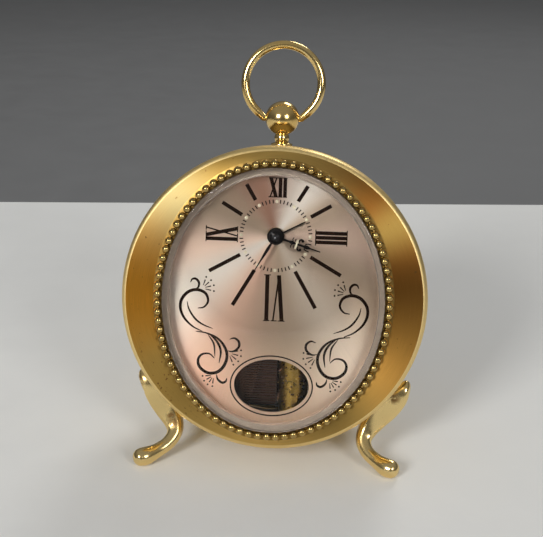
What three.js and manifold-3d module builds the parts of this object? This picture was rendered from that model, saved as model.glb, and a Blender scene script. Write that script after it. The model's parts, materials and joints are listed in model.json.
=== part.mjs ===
// Musical alarm clock: a round brass drum on two scroll legs, leaning back on its rear edge.
// An oval beaded opening shows a silvered dial with an oval window, and behind the window a
// music movement plays a steel comb with a pinned brass cylinder when the alarm goes off.
//
// Clock frame: x to the right, y towards the back, z up the face, in millimetres. Its origin is
// the centre of the round rim. The finished group leans back and stands with z = 0 on the table.

import * as THREE from 'three';
import { mergeVertices } from 'three/addons/utils/BufferGeometryUtils.js';
import Module from 'manifold-3d';

const wasm = await Module();
wasm.setup();

// Clearances
const GAP = 0.3;
const SIDE_GAP = 0.5;

// Case
const LEAN = THREE.MathUtils.degToRad(13);
const RIM_RADIUS = 45;
const BEZEL_SHEET = 0.7;
const BEZEL_SKIRT = 4;
const SHOULDER_WIDTH = 1.1;
const SHOULDER_RISE = 2.7;
const DRUM_DEPTH = 38;
const DRUM_WALL = 1.2;
const DRUM_FRONT = 1;
const REAR_BEVEL = 0.5;
const LEDGE_WIDTH = 2.3;
const LEDGE_SHEET = 1;
const COVER_SHEET = 1.2;
const COVER_RECESS = 1.9;
const COVER_FLANGE = 3;
const COVER_SCREWS = 3;
const COVER_SCREW_RADIUS = 0.8;
const SOUND_SLOTS = 5;
const SOUND_SLOT_PITCH = 3.4;
const SOUND_SLOT_LENGTH = 17;
const SOUND_SLOT_WIDTH = 1.5;
const DRUM_RADIUS = RIM_RADIUS - BEZEL_SHEET - GAP;
const DRUM_BORE = DRUM_RADIUS - DRUM_WALL;

// Oval opening, bead wire and crystal
const BEZEL_SIDE_WIDTH = 11.6;
const BEZEL_TOP_WIDTH = 5.1;
const OVAL_HALF_WIDTH = RIM_RADIUS - BEZEL_SIDE_WIDTH;
const OVAL_HALF_HEIGHT = RIM_RADIUS - BEZEL_TOP_WIDTH;
const BEAD_PLANE = -5.6;
const BEAD_RADIUS = 0.95;
const BEAD_WAIST = 0.5;
const BEAD_COUNT = 87;
const BEAD_SHOULDER = 0.35;
const LIP_DEPTH = 1.4;
const CRYSTAL_EDGE = 2.7;
const CRYSTAL_RISE = 2.6;
const CRYSTAL_WALL = 1.8;
const DIAL_RING_WALL = 0.9;

// Dial and window
const DIAL_FRONT = 1;
const DIAL_SHEET = 0.6;
const WINDOW_HALF_WIDTH = 11;
const WINDOW_HALF_HEIGHT = 7.6;
const DIAL_FOOT_RADIUS = 0.9;
const DIAL_FEET_SHARES = [[-0.65, 0.325], [0.7, 0.425], [0.45, -0.75]];

// Pendant and bow
const PENDANT_DEPTH = 17;
const PENDANT_BALL_HEIGHT = 52.6;
const PENDANT_BALL_RADIUS = 4.9;
const PENDANT_NECK_RADIUS = 1.95;
const PENDANT_FLANGE_RADIUS = 3.2;
const PENDANT_FLANGE_SHEET = 0.9;
const PENDANT_SHANK_RADIUS = 2.2;
const PENDANT_NUT_RADIUS = 3.9;
const PENDANT_NUT_SHEET = 2.2;
const BOW_RADIUS = 11.65;
const BOW_OFFSET = 10.6;
const BOW_WIRE_RADIUS = 1.25;
const BOW_PIN_RADIUS = 1.05;
const BOW_PIN_LENGTH = 3.8;

// Legs: the saddle behind the bezel, and the toe
const LEG_DEPTH = 9;
const LEG_SADDLE_ANGLE = THREE.MathUtils.degToRad(-42.5);
const LEG_SADDLE_REACH = 6;
const LEG_SCREW_RADIUS = 1;
const LEG_SCREW_HEAD = 2;
const LEG_SCREW_REACH = 3.4;
const TOE_RADIUS = 2.35;
const TOE_FLAT = 0.4;
const TOE_DEPTH = 0.6;

// Hands
const HAND_SHEET = 0.4;
const MINUTE_HAND_LENGTH = 13.5;
const HOUR_HAND_LENGTH = 13.7;
const ALARM_HAND_LENGTH = 9.5;
const HUB_NUT_RADIUS = 2.3;
const HUB_NUT_RISE = 1.3;
const MINUTE_HAND_BOSS = 1.8;
const MINUTE_HAND_HALF_WIDTHS = [0.6, 0.25];
const HOUR_HAND_BOSS = 2.3;
const HOUR_HAND_HALF_WIDTHS = [0.7, 0.5];
const HOUR_SCROLL_RADIUS = 1.6;
const HOUR_SCROLL_WIRE = 0.6;
const ALARM_HAND_BOSS = 2.8;
const ALARM_HAND_HALF_WIDTHS = [0.45, 0.25];
const MINUTE_HAND_ANGLE = THREE.MathUtils.degToRad(205.7);
const HOUR_HAND_ANGLE = THREE.MathUtils.degToRad(107);
const ALARM_HAND_ANGLE = THREE.MathUtils.degToRad(62);

// Clock movement
const PLATE_MARGIN = 1.3;
const PLATE_BOTTOM = 1.5;
const PLATE_CENTRE_X = -1;
const PLATE_RADIUS = (DRUM_BORE - PLATE_MARGIN - PLATE_BOTTOM) / 2;
const PLATE_CENTRE_Z = PLATE_BOTTOM + PLATE_RADIUS;
const HUB_DROP = 2.9;
const HUB_HEIGHT = PLATE_CENTRE_Z - HUB_DROP;
const PLATE_SHEET = 1.2;
const FRONT_PLATE_DEPTH = 6.6;
const PLATE_SPACING = 14;
const PILLAR_RADIUS = 1.5;
const PILLAR_INSET = 2.5;
const PILLAR_CIRCLE = PLATE_RADIUS - PILLAR_INSET;
const PILLAR_ANGLES = [68, 190, 250, 325];
const ARBOR_RADIUS = 0.9;
const PIVOT_RADIUS = 0.6;
const PIPE_WALL = 0.35;
const WHEEL_SHEET = 1;
const PINION_LEAVES = 6;
const CANNON_MODULE = PLATE_RADIUS / 20;
const CANNON_DEPTH = 4.9;
const MINUTE_WHEEL_TEETH = 18;
const MINUTE_WHEEL_ANGLE = THREE.MathUtils.degToRad(210);
const HOUR_WHEEL_TEETH = 24;
const HOUR_WHEEL_DEPTH = 3.4;
const HOUR_WHEEL_SHEET = 0.8;
const ALARM_MODULE = 1.27 * CANNON_MODULE;
const ALARM_WHEEL_TEETH = 12;
const ALARM_PINION_TEETH = 6;
const ALARM_WHEEL_DEPTH = 2.2;
const ALARM_WHEEL_SHEET = 0.8;
const ALARM_ARBOR_ANGLE = THREE.MathUtils.degToRad(-15);
const CENTRE_MODULE = 0.64 * CANNON_MODULE;
const CENTRE_WHEEL_TEETH = 24;
const CENTRE_WHEEL_DEPTH = 8.4;
const THIRD_ANGLE = THREE.MathUtils.degToRad(-70);
const THIRD_WHEEL_TEETH = 15;
const THIRD_WHEEL_DEPTH = 12;
const BARREL_MODULE = 0.73 * CANNON_MODULE;
const BARREL_TEETH = 24;
const BARREL_ANGLE = THREE.MathUtils.degToRad(120);
const BARREL_DRUM_RADIUS = 0.37 * PLATE_RADIUS;
const BARREL_FRONT = 11;
const BARREL_TEETH_DEPTH = 18;
const BARREL_FLANGE = 1.2;
const RATCHET_TEETH = 10;
const WINDING_ARBOR_RADIUS = 1.3;
const BALANCE_X = 0.55 * PLATE_RADIUS;
const BALANCE_Z = PLATE_CENTRE_Z + 0.25 * PLATE_RADIUS;
const BALANCE_RADIUS = 0.325 * PLATE_RADIUS;
const BALANCE_RIM = 0.9;
const BALANCE_ARM = 1.2;
const BALANCE_DEPTH = 14;

// Controls on the back
const KNOB_RADIUS = 3.6;
const KNOB_LENGTH = 3.6;
const KNOB_BEVEL = 0.6;
const KEY_HUB_RADIUS = 2.6;
const KEY_HUB_LENGTH = 5;
const KEY_WING_SPAN = 7.5;
const KEY_WING_SHEET = 1.8;
const KEY_WING_HEIGHT = 8;
const STOP_X = -0.725 * PLATE_RADIUS;
const STOP_Z = PLATE_CENTRE_Z - 0.475 * PLATE_RADIUS;
const STOP_STEM_RADIUS = 1.5;
const STOP_CAP_RADIUS = 3;
const STOP_CAP_LENGTH = 2.4;
const STOP_TRAVEL = 2.5;
const REGULATOR_LENGTH = 0.45 * PLATE_RADIUS;
const REGULATOR_ANGLE = THREE.MathUtils.degToRad(45);
const REGULATOR_SWING = THREE.MathUtils.degToRad(20);
const REGULATOR_SHEET = 0.8;
const REGULATOR_TAIL_RADIUS = 0.7;
const REGULATOR_TAIL_REACH = 1.2;

// Music movement, which fits in the lower half of the drum
const BEDPLATE_DEPTH = 22.5;
const BEDPLATE_SHEET = 1.5;
const BEDPLATE_CORNER = 4;
const BEDPLATE_MARGIN = 4.8;
const BEDPLATE_TOP_GAP = 2.5;
const BEDPLATE_BOTTOM = BEDPLATE_MARGIN - DRUM_BORE;
const BEDPLATE_TOP = PLATE_BOTTOM - BEDPLATE_TOP_GAP;
const BEDPLATE_HEIGHT = BEDPLATE_TOP - BEDPLATE_BOTTOM;
const BEDPLATE_HALF_WIDTH = -BEDPLATE_BOTTOM / 2;
const WINDOW_HEIGHT = BEDPLATE_BOTTOM + 0.3135 * BEDPLATE_HEIGHT;
const CYLINDER_X = 6.3;
const CYLINDER_DEPTH = 8;
const CYLINDER_RADIUS = 4.4;
const CYLINDER_PIN = 0.5;
const CYLINDER_PINS_PER_TOOTH = 2;
const CYLINDER_END = 1.3;
const COMB_TEETH = 18;
const COMB_PITCH = 0.39 * BEDPLATE_HEIGHT / COMB_TEETH;
const CYLINDER_LENGTH = COMB_TEETH * COMB_PITCH + 2 * CYLINDER_END;
const COMB_SLOT = 0.27;
const COMB_SHEET = 0.9;
const COMB_BASE_WIDTH = 10;
const COMB_SHORT_TOOTH = 4.5;
const COMB_LONG_TOOTH = 8;
const COMB_SCREW_RADIUS = 1;
const COMB_SCREW_HEAD = 1.9;
const COMB_SCREW_SPACING = 9;
const COMB_SCREW_DEPTH = 4;
const BRACKET_SHEET = 1.4;
const BRACKET_HALF_WIDTH = 3.2;
const CROWN_RADIUS = 0.176 * BEDPLATE_HEIGHT;
const CROWN_TEETH = 24;
const MUSIC_PINION_TEETH = 12;
const MUSIC_PINION_WIDTH = 1.6;
const MUSIC_BARREL_RIM = 1.5;
const MUSIC_BARREL_RADIUS = CROWN_RADIUS + MUSIC_BARREL_RIM;
const MUSIC_POST_RADIUS = 2;
const MUSIC_POST_INSET = 4;

// Facets
const ROUND = 40;
const OVAL_STATIONS = 44;
const SMALL_ROUND = 12;
const FEW_SIDES = 8;
const WINDOW_STATIONS = 28;

// Worked-out places
const COVER_FRONT = DRUM_DEPTH - COVER_RECESS - COVER_SHEET;
const COVER_BACK = COVER_FRONT + COVER_SHEET;
const DIAL_BACK = DIAL_FRONT + DIAL_SHEET;
const BEAD_SEAT = BEAD_PLANE + BEAD_RADIUS + GAP;
const CRYSTAL_BACK = BEAD_PLANE + CRYSTAL_EDGE;
const BACK_PLATE_DEPTH = FRONT_PLATE_DEPTH + PLATE_SHEET + PLATE_SPACING;
const BACK_PLATE_BACK = BACK_PLATE_DEPTH + PLATE_SHEET;
const DRUM_FLAT = DRUM_RADIUS * Math.cos(Math.PI / ROUND);
const FLOOR = -DRUM_FLAT * Math.cos(LEAN) - (DRUM_DEPTH - REAR_BEVEL) * Math.sin(LEAN);
const CANNON_DISTANCE = CANNON_MODULE * (PINION_LEAVES + MINUTE_WHEEL_TEETH) / 2;
const HOUR_MODULE = 2 * CANNON_DISTANCE / (PINION_LEAVES + HOUR_WHEEL_TEETH);
const ALARM_DISTANCE = ALARM_MODULE * (ALARM_WHEEL_TEETH + ALARM_PINION_TEETH) / 2;
const THIRD_DISTANCE = CENTRE_MODULE * (CENTRE_WHEEL_TEETH + PINION_LEAVES) / 2;
const BARREL_DISTANCE = BARREL_MODULE * (BARREL_TEETH + PINION_LEAVES) / 2;
const MUSIC_PINION_RADIUS = CROWN_RADIUS * MUSIC_PINION_TEETH / CROWN_TEETH;
const CYLINDER_TOP = WINDOW_HEIGHT + CYLINDER_LENGTH / 2;
const CYLINDER_BOTTOM = WINDOW_HEIGHT - CYLINDER_LENGTH / 2;
const TOP_BRACKET = CYLINDER_TOP + GAP;
const BOTTOM_BRACKET = CYLINDER_BOTTOM - GAP - BRACKET_SHEET;
const MUSIC_PINION_HEIGHT = TOP_BRACKET + BRACKET_SHEET + 2 * SIDE_GAP + MUSIC_PINION_WIDTH / 2;
const MUSIC_BARREL_Z = MUSIC_PINION_HEIGHT + CROWN_RADIUS;

const HUB = fromHub(0, 0);
const MINUTE_STUD = fromHub(CANNON_DISTANCE, MINUTE_WHEEL_ANGLE);
const ALARM_ARBOR = fromHub(ALARM_DISTANCE, ALARM_ARBOR_ANGLE);
const THIRD_ARBOR = fromHub(THIRD_DISTANCE, THIRD_ANGLE);
const TIME_ARBOR = fromHub(BARREL_DISTANCE, BARREL_ANGLE);
const MUSIC_ARBOR = new THREE.Vector2(CYLINDER_X, MUSIC_BARREL_Z);
const BALANCE = new THREE.Vector2(BALANCE_X, BALANCE_Z);
const STOP = new THREE.Vector2(STOP_X, STOP_Z);

function fromHub(distance, angle) {
  return new THREE.Vector2(distance * Math.cos(angle), HUB_HEIGHT + distance * Math.sin(angle));
}

// Geometry helpers

// Weld a geometry into one closed mesh of positions only, with its faces pointing out.
function closed(geometry) {
  const bare = geometry.clone();
  bare.deleteAttribute('normal');
  bare.deleteAttribute('uv');
  const welded = mergeVertices(bare, 1e-4);
  const corners = welded.index.array;
  const point = new THREE.Vector3();
  const second = new THREE.Vector3();
  const third = new THREE.Vector3();
  const kept = [];
  let volume = 0;
  for (let i = 0; i < corners.length; i += 3) {
    const [a, b, c] = [corners[i], corners[i + 1], corners[i + 2]];
    if (a === b || b === c || c === a) continue;
    kept.push(a, b, c);
    point.fromBufferAttribute(welded.attributes.position, a);
    second.fromBufferAttribute(welded.attributes.position, b);
    third.fromBufferAttribute(welded.attributes.position, c);
    volume += point.dot(second.cross(third));
  }
  if (volume < 0) {
    kept.reverse();
  }
  welded.setIndex(kept);
  return welded;
}

function toManifold(geometry) {
  const mesh = closed(geometry);
  return new wasm.Manifold(new wasm.Mesh({
    numProp: 3,
    vertProperties: new Float32Array(mesh.attributes.position.array),
    triVerts: new Uint32Array(mesh.index.array),
  }));
}

function toGeometry(manifold) {
  const mesh = manifold.getMesh();
  const geometry = new THREE.BufferGeometry();
  geometry.setAttribute('position', new THREE.BufferAttribute(mesh.vertProperties, 3));
  geometry.setIndex(new THREE.BufferAttribute(mesh.triVerts, 1));
  return geometry;
}

function join(first, ...others) {
  return toGeometry(others.reduce((sum, other) => sum.add(toManifold(other)), toManifold(first)));
}

function cut(first, ...others) {
  return toGeometry(others.reduce((rest, other) => rest.subtract(toManifold(other)), toManifold(first)));
}

// A turned piece about the y axis, from its outline as [radius, depth] corners.
function turned(outline, segments = SMALL_ROUND) {
  const points = outline.map(([radius, depth]) => new THREE.Vector2(radius, depth));
  const onAxis = outline[0][0] === 0 && outline.at(-1)[0] === 0;
  if (!onAxis) points.push(points[0].clone());
  return closed(new THREE.LatheGeometry(points, segments, Math.PI / segments));
}

function rod(radius, front, back, segments = SMALL_ROUND) {
  return turned([[0, front], [radius, front], [radius, back], [0, back]], segments);
}

function pipe(bore, radius, front, back, segments = SMALL_ROUND) {
  return turned([[bore, front], [radius, front], [radius, back], [bore, back]], segments);
}

// A flat piece parallel to the dial, from a shape drawn as seen from the front.
function plate(shape, front, back, curveSegments = 8) {
  const geometry = new THREE.ExtrudeGeometry(shape, {
    depth: back - front, bevelEnabled: false, curveSegments,
  });
  return geometry.rotateX(Math.PI / 2).translate(0, back, 0);
}

// A flat piece that lies across the case, from a shape drawn as x and depth.
function shelf(shape, bottom, top, curveSegments = 8) {
  const geometry = new THREE.ExtrudeGeometry(shape, {
    depth: top - bottom, bevelEnabled: false, curveSegments,
  });
  return geometry.translate(0, 0, bottom);
}

// The corners of an oval, drawn as a polygon.
function ovalCorners(x, y, halfWidth, halfHeight, sides) {
  const corners = [];
  for (let i = 0; i < sides; i += 1) {
    const angle = 2 * Math.PI * (i + 0.5) / sides;
    corners.push(new THREE.Vector2(x + halfWidth * Math.cos(angle), y + halfHeight * Math.sin(angle)));
  }
  return corners;
}

function circle(x, y, radius, sides = FEW_SIDES) {
  return new THREE.Path(ovalCorners(x, y, radius, radius, sides));
}

function disc(x, y, radius, sides = SMALL_ROUND) {
  return new THREE.Shape(ovalCorners(x, y, radius, radius, sides));
}

function roundedRectangle(left, right, bottom, top, corner) {
  const shape = new THREE.Shape();
  shape.absarc(right - corner, top - corner, corner, 0, Math.PI / 2, false);
  shape.absarc(left + corner, top - corner, corner, Math.PI / 2, Math.PI, false);
  shape.absarc(left + corner, bottom + corner, corner, Math.PI, 1.5 * Math.PI, false);
  shape.absarc(right - corner, bottom + corner, corner, 1.5 * Math.PI, 2 * Math.PI, false);
  shape.closePath();
  return shape;
}

// The outline of a clock wheel with one tooth centred at the given angle, seen from the front.
function gearShape(teeth, module, phase, bore = 0) {
  const pitchRadius = teeth * module / 2;
  const tip = pitchRadius + 0.6 * module;
  const root = pitchRadius - 1.2 * module;
  const pitch = 2 * Math.PI / teeth;
  const corners = [[tip, -0.06], [tip, 0.06], [root, 0.5]];
  const points = [];
  for (let tooth = 0; tooth < teeth; tooth += 1) {
    for (const [radius, share] of corners) {
      const angle = phase + (tooth + share) * pitch;
      points.push(new THREE.Vector2(radius * Math.cos(angle), radius * Math.sin(angle)));
    }
  }
  const shape = new THREE.Shape(points);
  if (bore > 0) shape.holes.push(circle(0, 0, bore));
  return shape;
}

// The phase of a wheel whose tooth space faces back towards its mate.
function meshPhase(direction, teeth) {
  return direction + Math.PI + Math.PI / teeth;
}

// A skin over a row of equal loops of points. An open row is closed by flat caps.
function loft(loops, ring = false) {
  const size = loops[0].length;
  const positions = loops.flat().flatMap((point) => point.toArray());
  const index = [];
  const rows = ring ? loops.length : loops.length - 1;
  for (let row = 0; row < rows; row += 1) {
    const here = row * size;
    const next = ((row + 1) % loops.length) * size;
    for (let i = 0; i < size; i += 1) {
      const j = (i + 1) % size;
      index.push(here + i, here + j, next + j, here + i, next + j, next + i);
    }
  }
  if (!ring) {
    const last = (loops.length - 1) * size;
    for (let i = 1; i < size - 1; i += 1) {
      index.push(0, i + 1, i, last, last + i, last + i + 1);
    }
  }
  const geometry = new THREE.BufferGeometry();
  geometry.setAttribute('position', new THREE.Float32BufferAttribute(positions, 3));
  geometry.setIndex(index);
  return closed(geometry);
}

function ovalPoint(halfWidth, halfHeight, depth, angle) {
  return new THREE.Vector3(halfWidth * Math.cos(angle), depth, halfHeight * Math.sin(angle));
}

// A ring of oval sections: each corner of its outline is [half width, half height, depth].
function ovalRing(outline, stations = OVAL_STATIONS) {
  const loops = [];
  for (let i = 0; i < stations; i += 1) {
    const angle = 2 * Math.PI * (i + 0.5) / stations;
    loops.push(outline.map(([width, height, depth]) => ovalPoint(width, height, depth, angle)));
  }
  return loft(loops, true);
}

const clock = new THREE.Group();

const polishedBrass = { color: 0xc9a24a, metalness: 1, roughness: 0.18 };
const brushedBrass = { color: 0xa9803a, metalness: 1, roughness: 0.42 };
const wheelBrass = { color: 0xb9953f, metalness: 1, roughness: 0.35 };
const steel = { color: 0x8c8f92, metalness: 1, roughness: 0.3 };
const darkSteel = { color: 0x3a3636, metalness: 0.9, roughness: 0.45 };
const silvered = { color: 0xcbbfae, metalness: 0.6, roughness: 0.4 };
const blackPaint = { color: 0x1a1513, metalness: 0, roughness: 0.45 };
const acrylic = { color: 0xf4f4f0, metalness: 0, roughness: 0.05, transparent: true, opacity: 0.2 };

function add(name, geometry, finish, parent = clock) {
  const mesh = new THREE.Mesh(closed(geometry), new THREE.MeshStandardMaterial(finish));
  mesh.name = name;
  parent.add(mesh);
  return mesh;
}

// A piece that is drawn about its own y axis and stands at a place on the movement.
function addAt(name, place, geometry, finish) {
  const mesh = add(name, geometry, finish);
  mesh.position.set(place.x, 0, place.y);
  return mesh;
}

// Case

const crystalHalfWidth = OVAL_HALF_WIDTH - BEAD_RADIUS - GAP;
const crystalHalfHeight = OVAL_HALF_HEIGHT - BEAD_RADIUS - GAP;

function caseDrum() {
  const ledgeFront = DIAL_BACK + GAP;
  const ledgeBack = ledgeFront + LEDGE_SHEET;
  const flangeBack = COVER_FRONT - GAP;
  const flangeFront = flangeBack - COVER_SHEET;
  const shell = turned([
    [DRUM_RADIUS, DRUM_FRONT],
    [DRUM_RADIUS, DRUM_DEPTH - REAR_BEVEL],
    [DRUM_RADIUS - REAR_BEVEL, DRUM_DEPTH],
    [DRUM_BORE, DRUM_DEPTH],
    [DRUM_BORE, flangeBack],
    [DRUM_BORE - COVER_FLANGE, flangeBack],
    [DRUM_BORE - COVER_FLANGE, flangeFront],
    [DRUM_BORE, flangeFront],
    [DRUM_BORE, ledgeBack],
    [DRUM_BORE - LEDGE_WIDTH, ledgeBack],
    [DRUM_BORE - LEDGE_WIDTH, ledgeFront],
    [DRUM_BORE, ledgeFront],
    [DRUM_BORE, DRUM_FRONT],
  ], ROUND);
  const holes = [radialRod(PENDANT_SHANK_RADIUS + GAP, Math.PI / 2, PENDANT_DEPTH)];
  for (const side of [0, 1]) {
    holes.push(radialRod(LEG_SCREW_RADIUS + GAP, saddleAngle(side), LEG_DEPTH));
  }
  for (const place of coverScrewPlaces()) {
    const hole = rod(COVER_SCREW_RADIUS + GAP, flangeFront - 1, flangeBack + 1, FEW_SIDES);
    holes.push(hole.translate(place.x, 0, place.y));
  }
  return cut(shell, ...holes);
}

// The leg saddles sit at equal angles below the middle: side 0 is right, side 1 is left.
function saddleAngle(side) {
  return side === 0 ? LEG_SADDLE_ANGLE : Math.PI - LEG_SADDLE_ANGLE;
}

// A rod through the drum wall, pointing out from the drum's axis.
function radialRod(radius, angle, depth, inner = DRUM_BORE - 1, outer = DRUM_RADIUS + 1) {
  const geometry = rod(radius, inner, outer);
  return geometry.rotateX(Math.PI / 2).rotateY(Math.PI / 2 - angle).translate(0, depth, 0);
}

function coverScrewPlaces() {
  const places = [];
  for (let i = 0; i < COVER_SCREWS; i += 1) {
    const angle = Math.PI / 2 + 2 * Math.PI * (i + 0.5) / COVER_SCREWS;
    const radius = DRUM_BORE - COVER_FLANGE / 2 - GAP;
    places.push(new THREE.Vector2(radius * Math.cos(angle), radius * Math.sin(angle)));
  }
  return places;
}

// The bezel runs from the round skirt over a rounded shoulder to the oval lip round the crystal.
function bezel() {
  const seatWidth = OVAL_HALF_WIDTH + BEAD_RADIUS + BEAD_SHOULDER;
  const seatHeight = OVAL_HALF_HEIGHT + BEAD_RADIUS + BEAD_SHOULDER;
  const lipWidth = crystalHalfWidth + GAP;
  const lipHeight = crystalHalfHeight + GAP;
  const face = RIM_RADIUS - SHOULDER_WIDTH;
  const shoulder = RIM_RADIUS - 0.3 * SHOULDER_WIDTH;
  const inside = RIM_RADIUS - BEZEL_SHEET;
  return ovalRing([
    [RIM_RADIUS, RIM_RADIUS, BEZEL_SKIRT],
    [RIM_RADIUS, RIM_RADIUS, 0],
    [shoulder, shoulder, -0.55 * SHOULDER_RISE],
    [face, face, -SHOULDER_RISE],
    [seatWidth, seatHeight, BEAD_SEAT],
    [lipWidth, lipHeight, BEAD_SEAT],
    [lipWidth, lipHeight, BEAD_SEAT + LIP_DEPTH],
    [lipWidth + BEZEL_SHEET, lipHeight + BEZEL_SHEET, BEAD_SEAT + LIP_DEPTH],
    [face - BEZEL_SHEET, face - BEZEL_SHEET, BEZEL_SHEET - SHOULDER_RISE],
    [inside, inside, BEZEL_SHEET / 2],
    [inside, inside, BEZEL_SKIRT],
  ]);
}

// Evenly spaced angles round the oval, measured along its length.
function evenOvalAngles(halfWidth, halfHeight, count) {
  const oval = new THREE.EllipseCurve(0, 0, halfWidth, halfHeight);
  oval.arcLengthDivisions = 20 * count;
  const angles = [];
  for (let i = 0; i < count; i += 1) {
    angles.push(2 * Math.PI * oval.getUtoTmapping(i / count));
  }
  return angles;
}

// The beaded wire swells at each bead and narrows between the beads.
function beadedRim() {
  const sides = 4;
  const angles = evenOvalAngles(OVAL_HALF_WIDTH, OVAL_HALF_HEIGHT, 2 * BEAD_COUNT);
  const loops = angles.map((angle, station) => {
    const radius = station % 2 === 0 ? BEAD_RADIUS : BEAD_WAIST;
    const centre = ovalPoint(OVAL_HALF_WIDTH, OVAL_HALF_HEIGHT, BEAD_PLANE, angle);
    const outward = ovalPoint(OVAL_HALF_HEIGHT, OVAL_HALF_WIDTH, 0, angle).normalize();
    const loop = [];
    for (let i = 0; i < sides; i += 1) {
      const turn = 2 * Math.PI * (i + 0.25) / sides;
      const point = centre.clone().addScaledVector(outward, radius * Math.cos(turn));
      point.y += radius * Math.sin(turn);
      loop.push(point);
    }
    return loop;
  });
  return loft(loops, true);
}

// A thick-edged oval lens with a low dome, hollow behind.
function crystal() {
  const rings = 3;
  const stations = 32;
  const front = [];
  const back = [];
  for (let i = 1; i <= rings; i += 1) {
    const share = i / rings;
    const dome = 1 - share * share;
    const hollow = 0.97 * share;
    front.push([share * crystalHalfWidth, share * crystalHalfHeight, BEAD_PLANE - CRYSTAL_RISE * dome]);
    const inner = BEAD_PLANE + CRYSTAL_WALL - CRYSTAL_RISE * dome;
    back.unshift([hollow * crystalHalfWidth, hollow * crystalHalfHeight, inner]);
  }
  const edge = [crystalHalfWidth, crystalHalfHeight, CRYSTAL_BACK];
  const foot = [0.95 * crystalHalfWidth, 0.95 * crystalHalfHeight, CRYSTAL_BACK];
  const outline = [[0, 0, BEAD_PLANE - CRYSTAL_RISE], ...front, edge, foot, ...back];
  outline.push([0, 0, BEAD_PLANE + CRYSTAL_WALL - CRYSTAL_RISE]);
  return domed(outline, stations);
}

// A solid of oval sections whose outline starts and ends on the axis.
function domed(outline, stations) {
  const positions = [];
  const index = [];
  for (const [width, height, depth] of outline) {
    for (let i = 0; i < stations; i += 1) {
      positions.push(...ovalPoint(width, height, depth, 2 * Math.PI * i / stations).toArray());
    }
  }
  for (let row = 0; row < outline.length - 1; row += 1) {
    for (let i = 0; i < stations; i += 1) {
      const j = (i + 1) % stations;
      const [a, b] = [row * stations + i, row * stations + j];
      index.push(a, b, b + stations, a, b + stations, a + stations);
    }
  }
  const geometry = new THREE.BufferGeometry();
  geometry.setAttribute('position', new THREE.Float32BufferAttribute(positions, 3));
  geometry.setIndex(index);
  return closed(geometry);
}

// The silver ring between the crystal and the dial.
function dialRing() {
  const [front, back] = [CRYSTAL_BACK + GAP, DIAL_FRONT - GAP];
  const [width, height] = [crystalHalfWidth, crystalHalfHeight];
  const wall = DIAL_RING_WALL;
  return ovalRing([
    [width, height, front],
    [width, height, back],
    [width - 1.5 * wall, height - 1.5 * wall, back],
    [width - wall, height - wall, front],
  ], 32);
}

function dial() {
  const sheet = disc(0, 0, DRUM_BORE - GAP, ROUND);
  sheet.holes.push(circle(HUB.x, HUB.y, dialHole, SMALL_ROUND));
  sheet.holes.push(new THREE.Path(
    ovalCorners(0, WINDOW_HEIGHT, WINDOW_HALF_WIDTH, WINDOW_HALF_HEIGHT, WINDOW_STATIONS),
  ));
  const feet = DIAL_FEET_SHARES.map(([across, up]) => {
    const foot = rod(DIAL_FOOT_RADIUS, DIAL_BACK - DIAL_SHEET / 2, FRONT_PLATE_DEPTH - GAP, FEW_SIDES);
    return foot.translate(PLATE_CENTRE_X + across * PLATE_RADIUS, 0, PLATE_CENTRE_Z + up * PLATE_RADIUS);
  });
  return join(plate(sheet, DIAL_FRONT, DIAL_BACK), ...feet);
}

function backCover() {
  const sheet = disc(0, 0, DRUM_BORE - GAP, ROUND);
  const running = WINDING_ARBOR_RADIUS + SIDE_GAP;
  for (const place of [TIME_ARBOR, MUSIC_ARBOR, HUB, ALARM_ARBOR]) {
    sheet.holes.push(circle(place.x, place.y, running));
  }
  sheet.holes.push(circle(STOP.x, STOP.y, STOP_STEM_RADIUS + GAP));
  for (const place of coverScrewPlaces()) {
    sheet.holes.push(circle(place.x, place.y, COVER_SCREW_RADIUS + GAP));
  }
  sheet.holes.push(regulatorSlot());
  for (let i = 0; i < SOUND_SLOTS; i += 1) {
    const z = WINDOW_HEIGHT + (i - (SOUND_SLOTS - 1) / 2) * SOUND_SLOT_PITCH;
    const [half, round] = [SOUND_SLOT_LENGTH / 2, SOUND_SLOT_WIDTH / 2];
    const slot = new THREE.Path();
    slot.absarc(half, z, round, Math.PI / 2, -Math.PI / 2, true);
    slot.absarc(-half, z, round, -Math.PI / 2, -1.5 * Math.PI, true);
    slot.closePath();
    sheet.holes.push(slot);
  }
  return plate(sheet, COVER_FRONT, COVER_BACK, 2);
}

// The arc that the regulator's tail sweeps in the back cover.
function regulatorSlot() {
  const half = REGULATOR_TAIL_RADIUS + SIDE_GAP;
  const reach = REGULATOR_SWING + half / REGULATOR_LENGTH;
  const [start, end] = [REGULATOR_ANGLE - reach, REGULATOR_ANGLE + reach];
  const slot = new THREE.Path();
  slot.absarc(BALANCE.x, BALANCE.y, REGULATOR_LENGTH + half, end, start, true);
  slot.absarc(BALANCE.x, BALANCE.y, REGULATOR_LENGTH - half, start, end, false);
  slot.closePath();
  return slot;
}

function coverScrew() {
  const headBack = COVER_BACK + GAP + COVER_SCREW_RADIUS;
  const tip = COVER_FRONT - GAP - COVER_SHEET - 1;
  return turned([
    [0, tip], [COVER_SCREW_RADIUS, tip], [COVER_SCREW_RADIUS, COVER_BACK + GAP],
    [2 * COVER_SCREW_RADIUS, COVER_BACK + GAP], [1.5 * COVER_SCREW_RADIUS, headBack], [0, headBack],
  ], FEW_SIDES);
}

// Pendant, nut and bow

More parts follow.
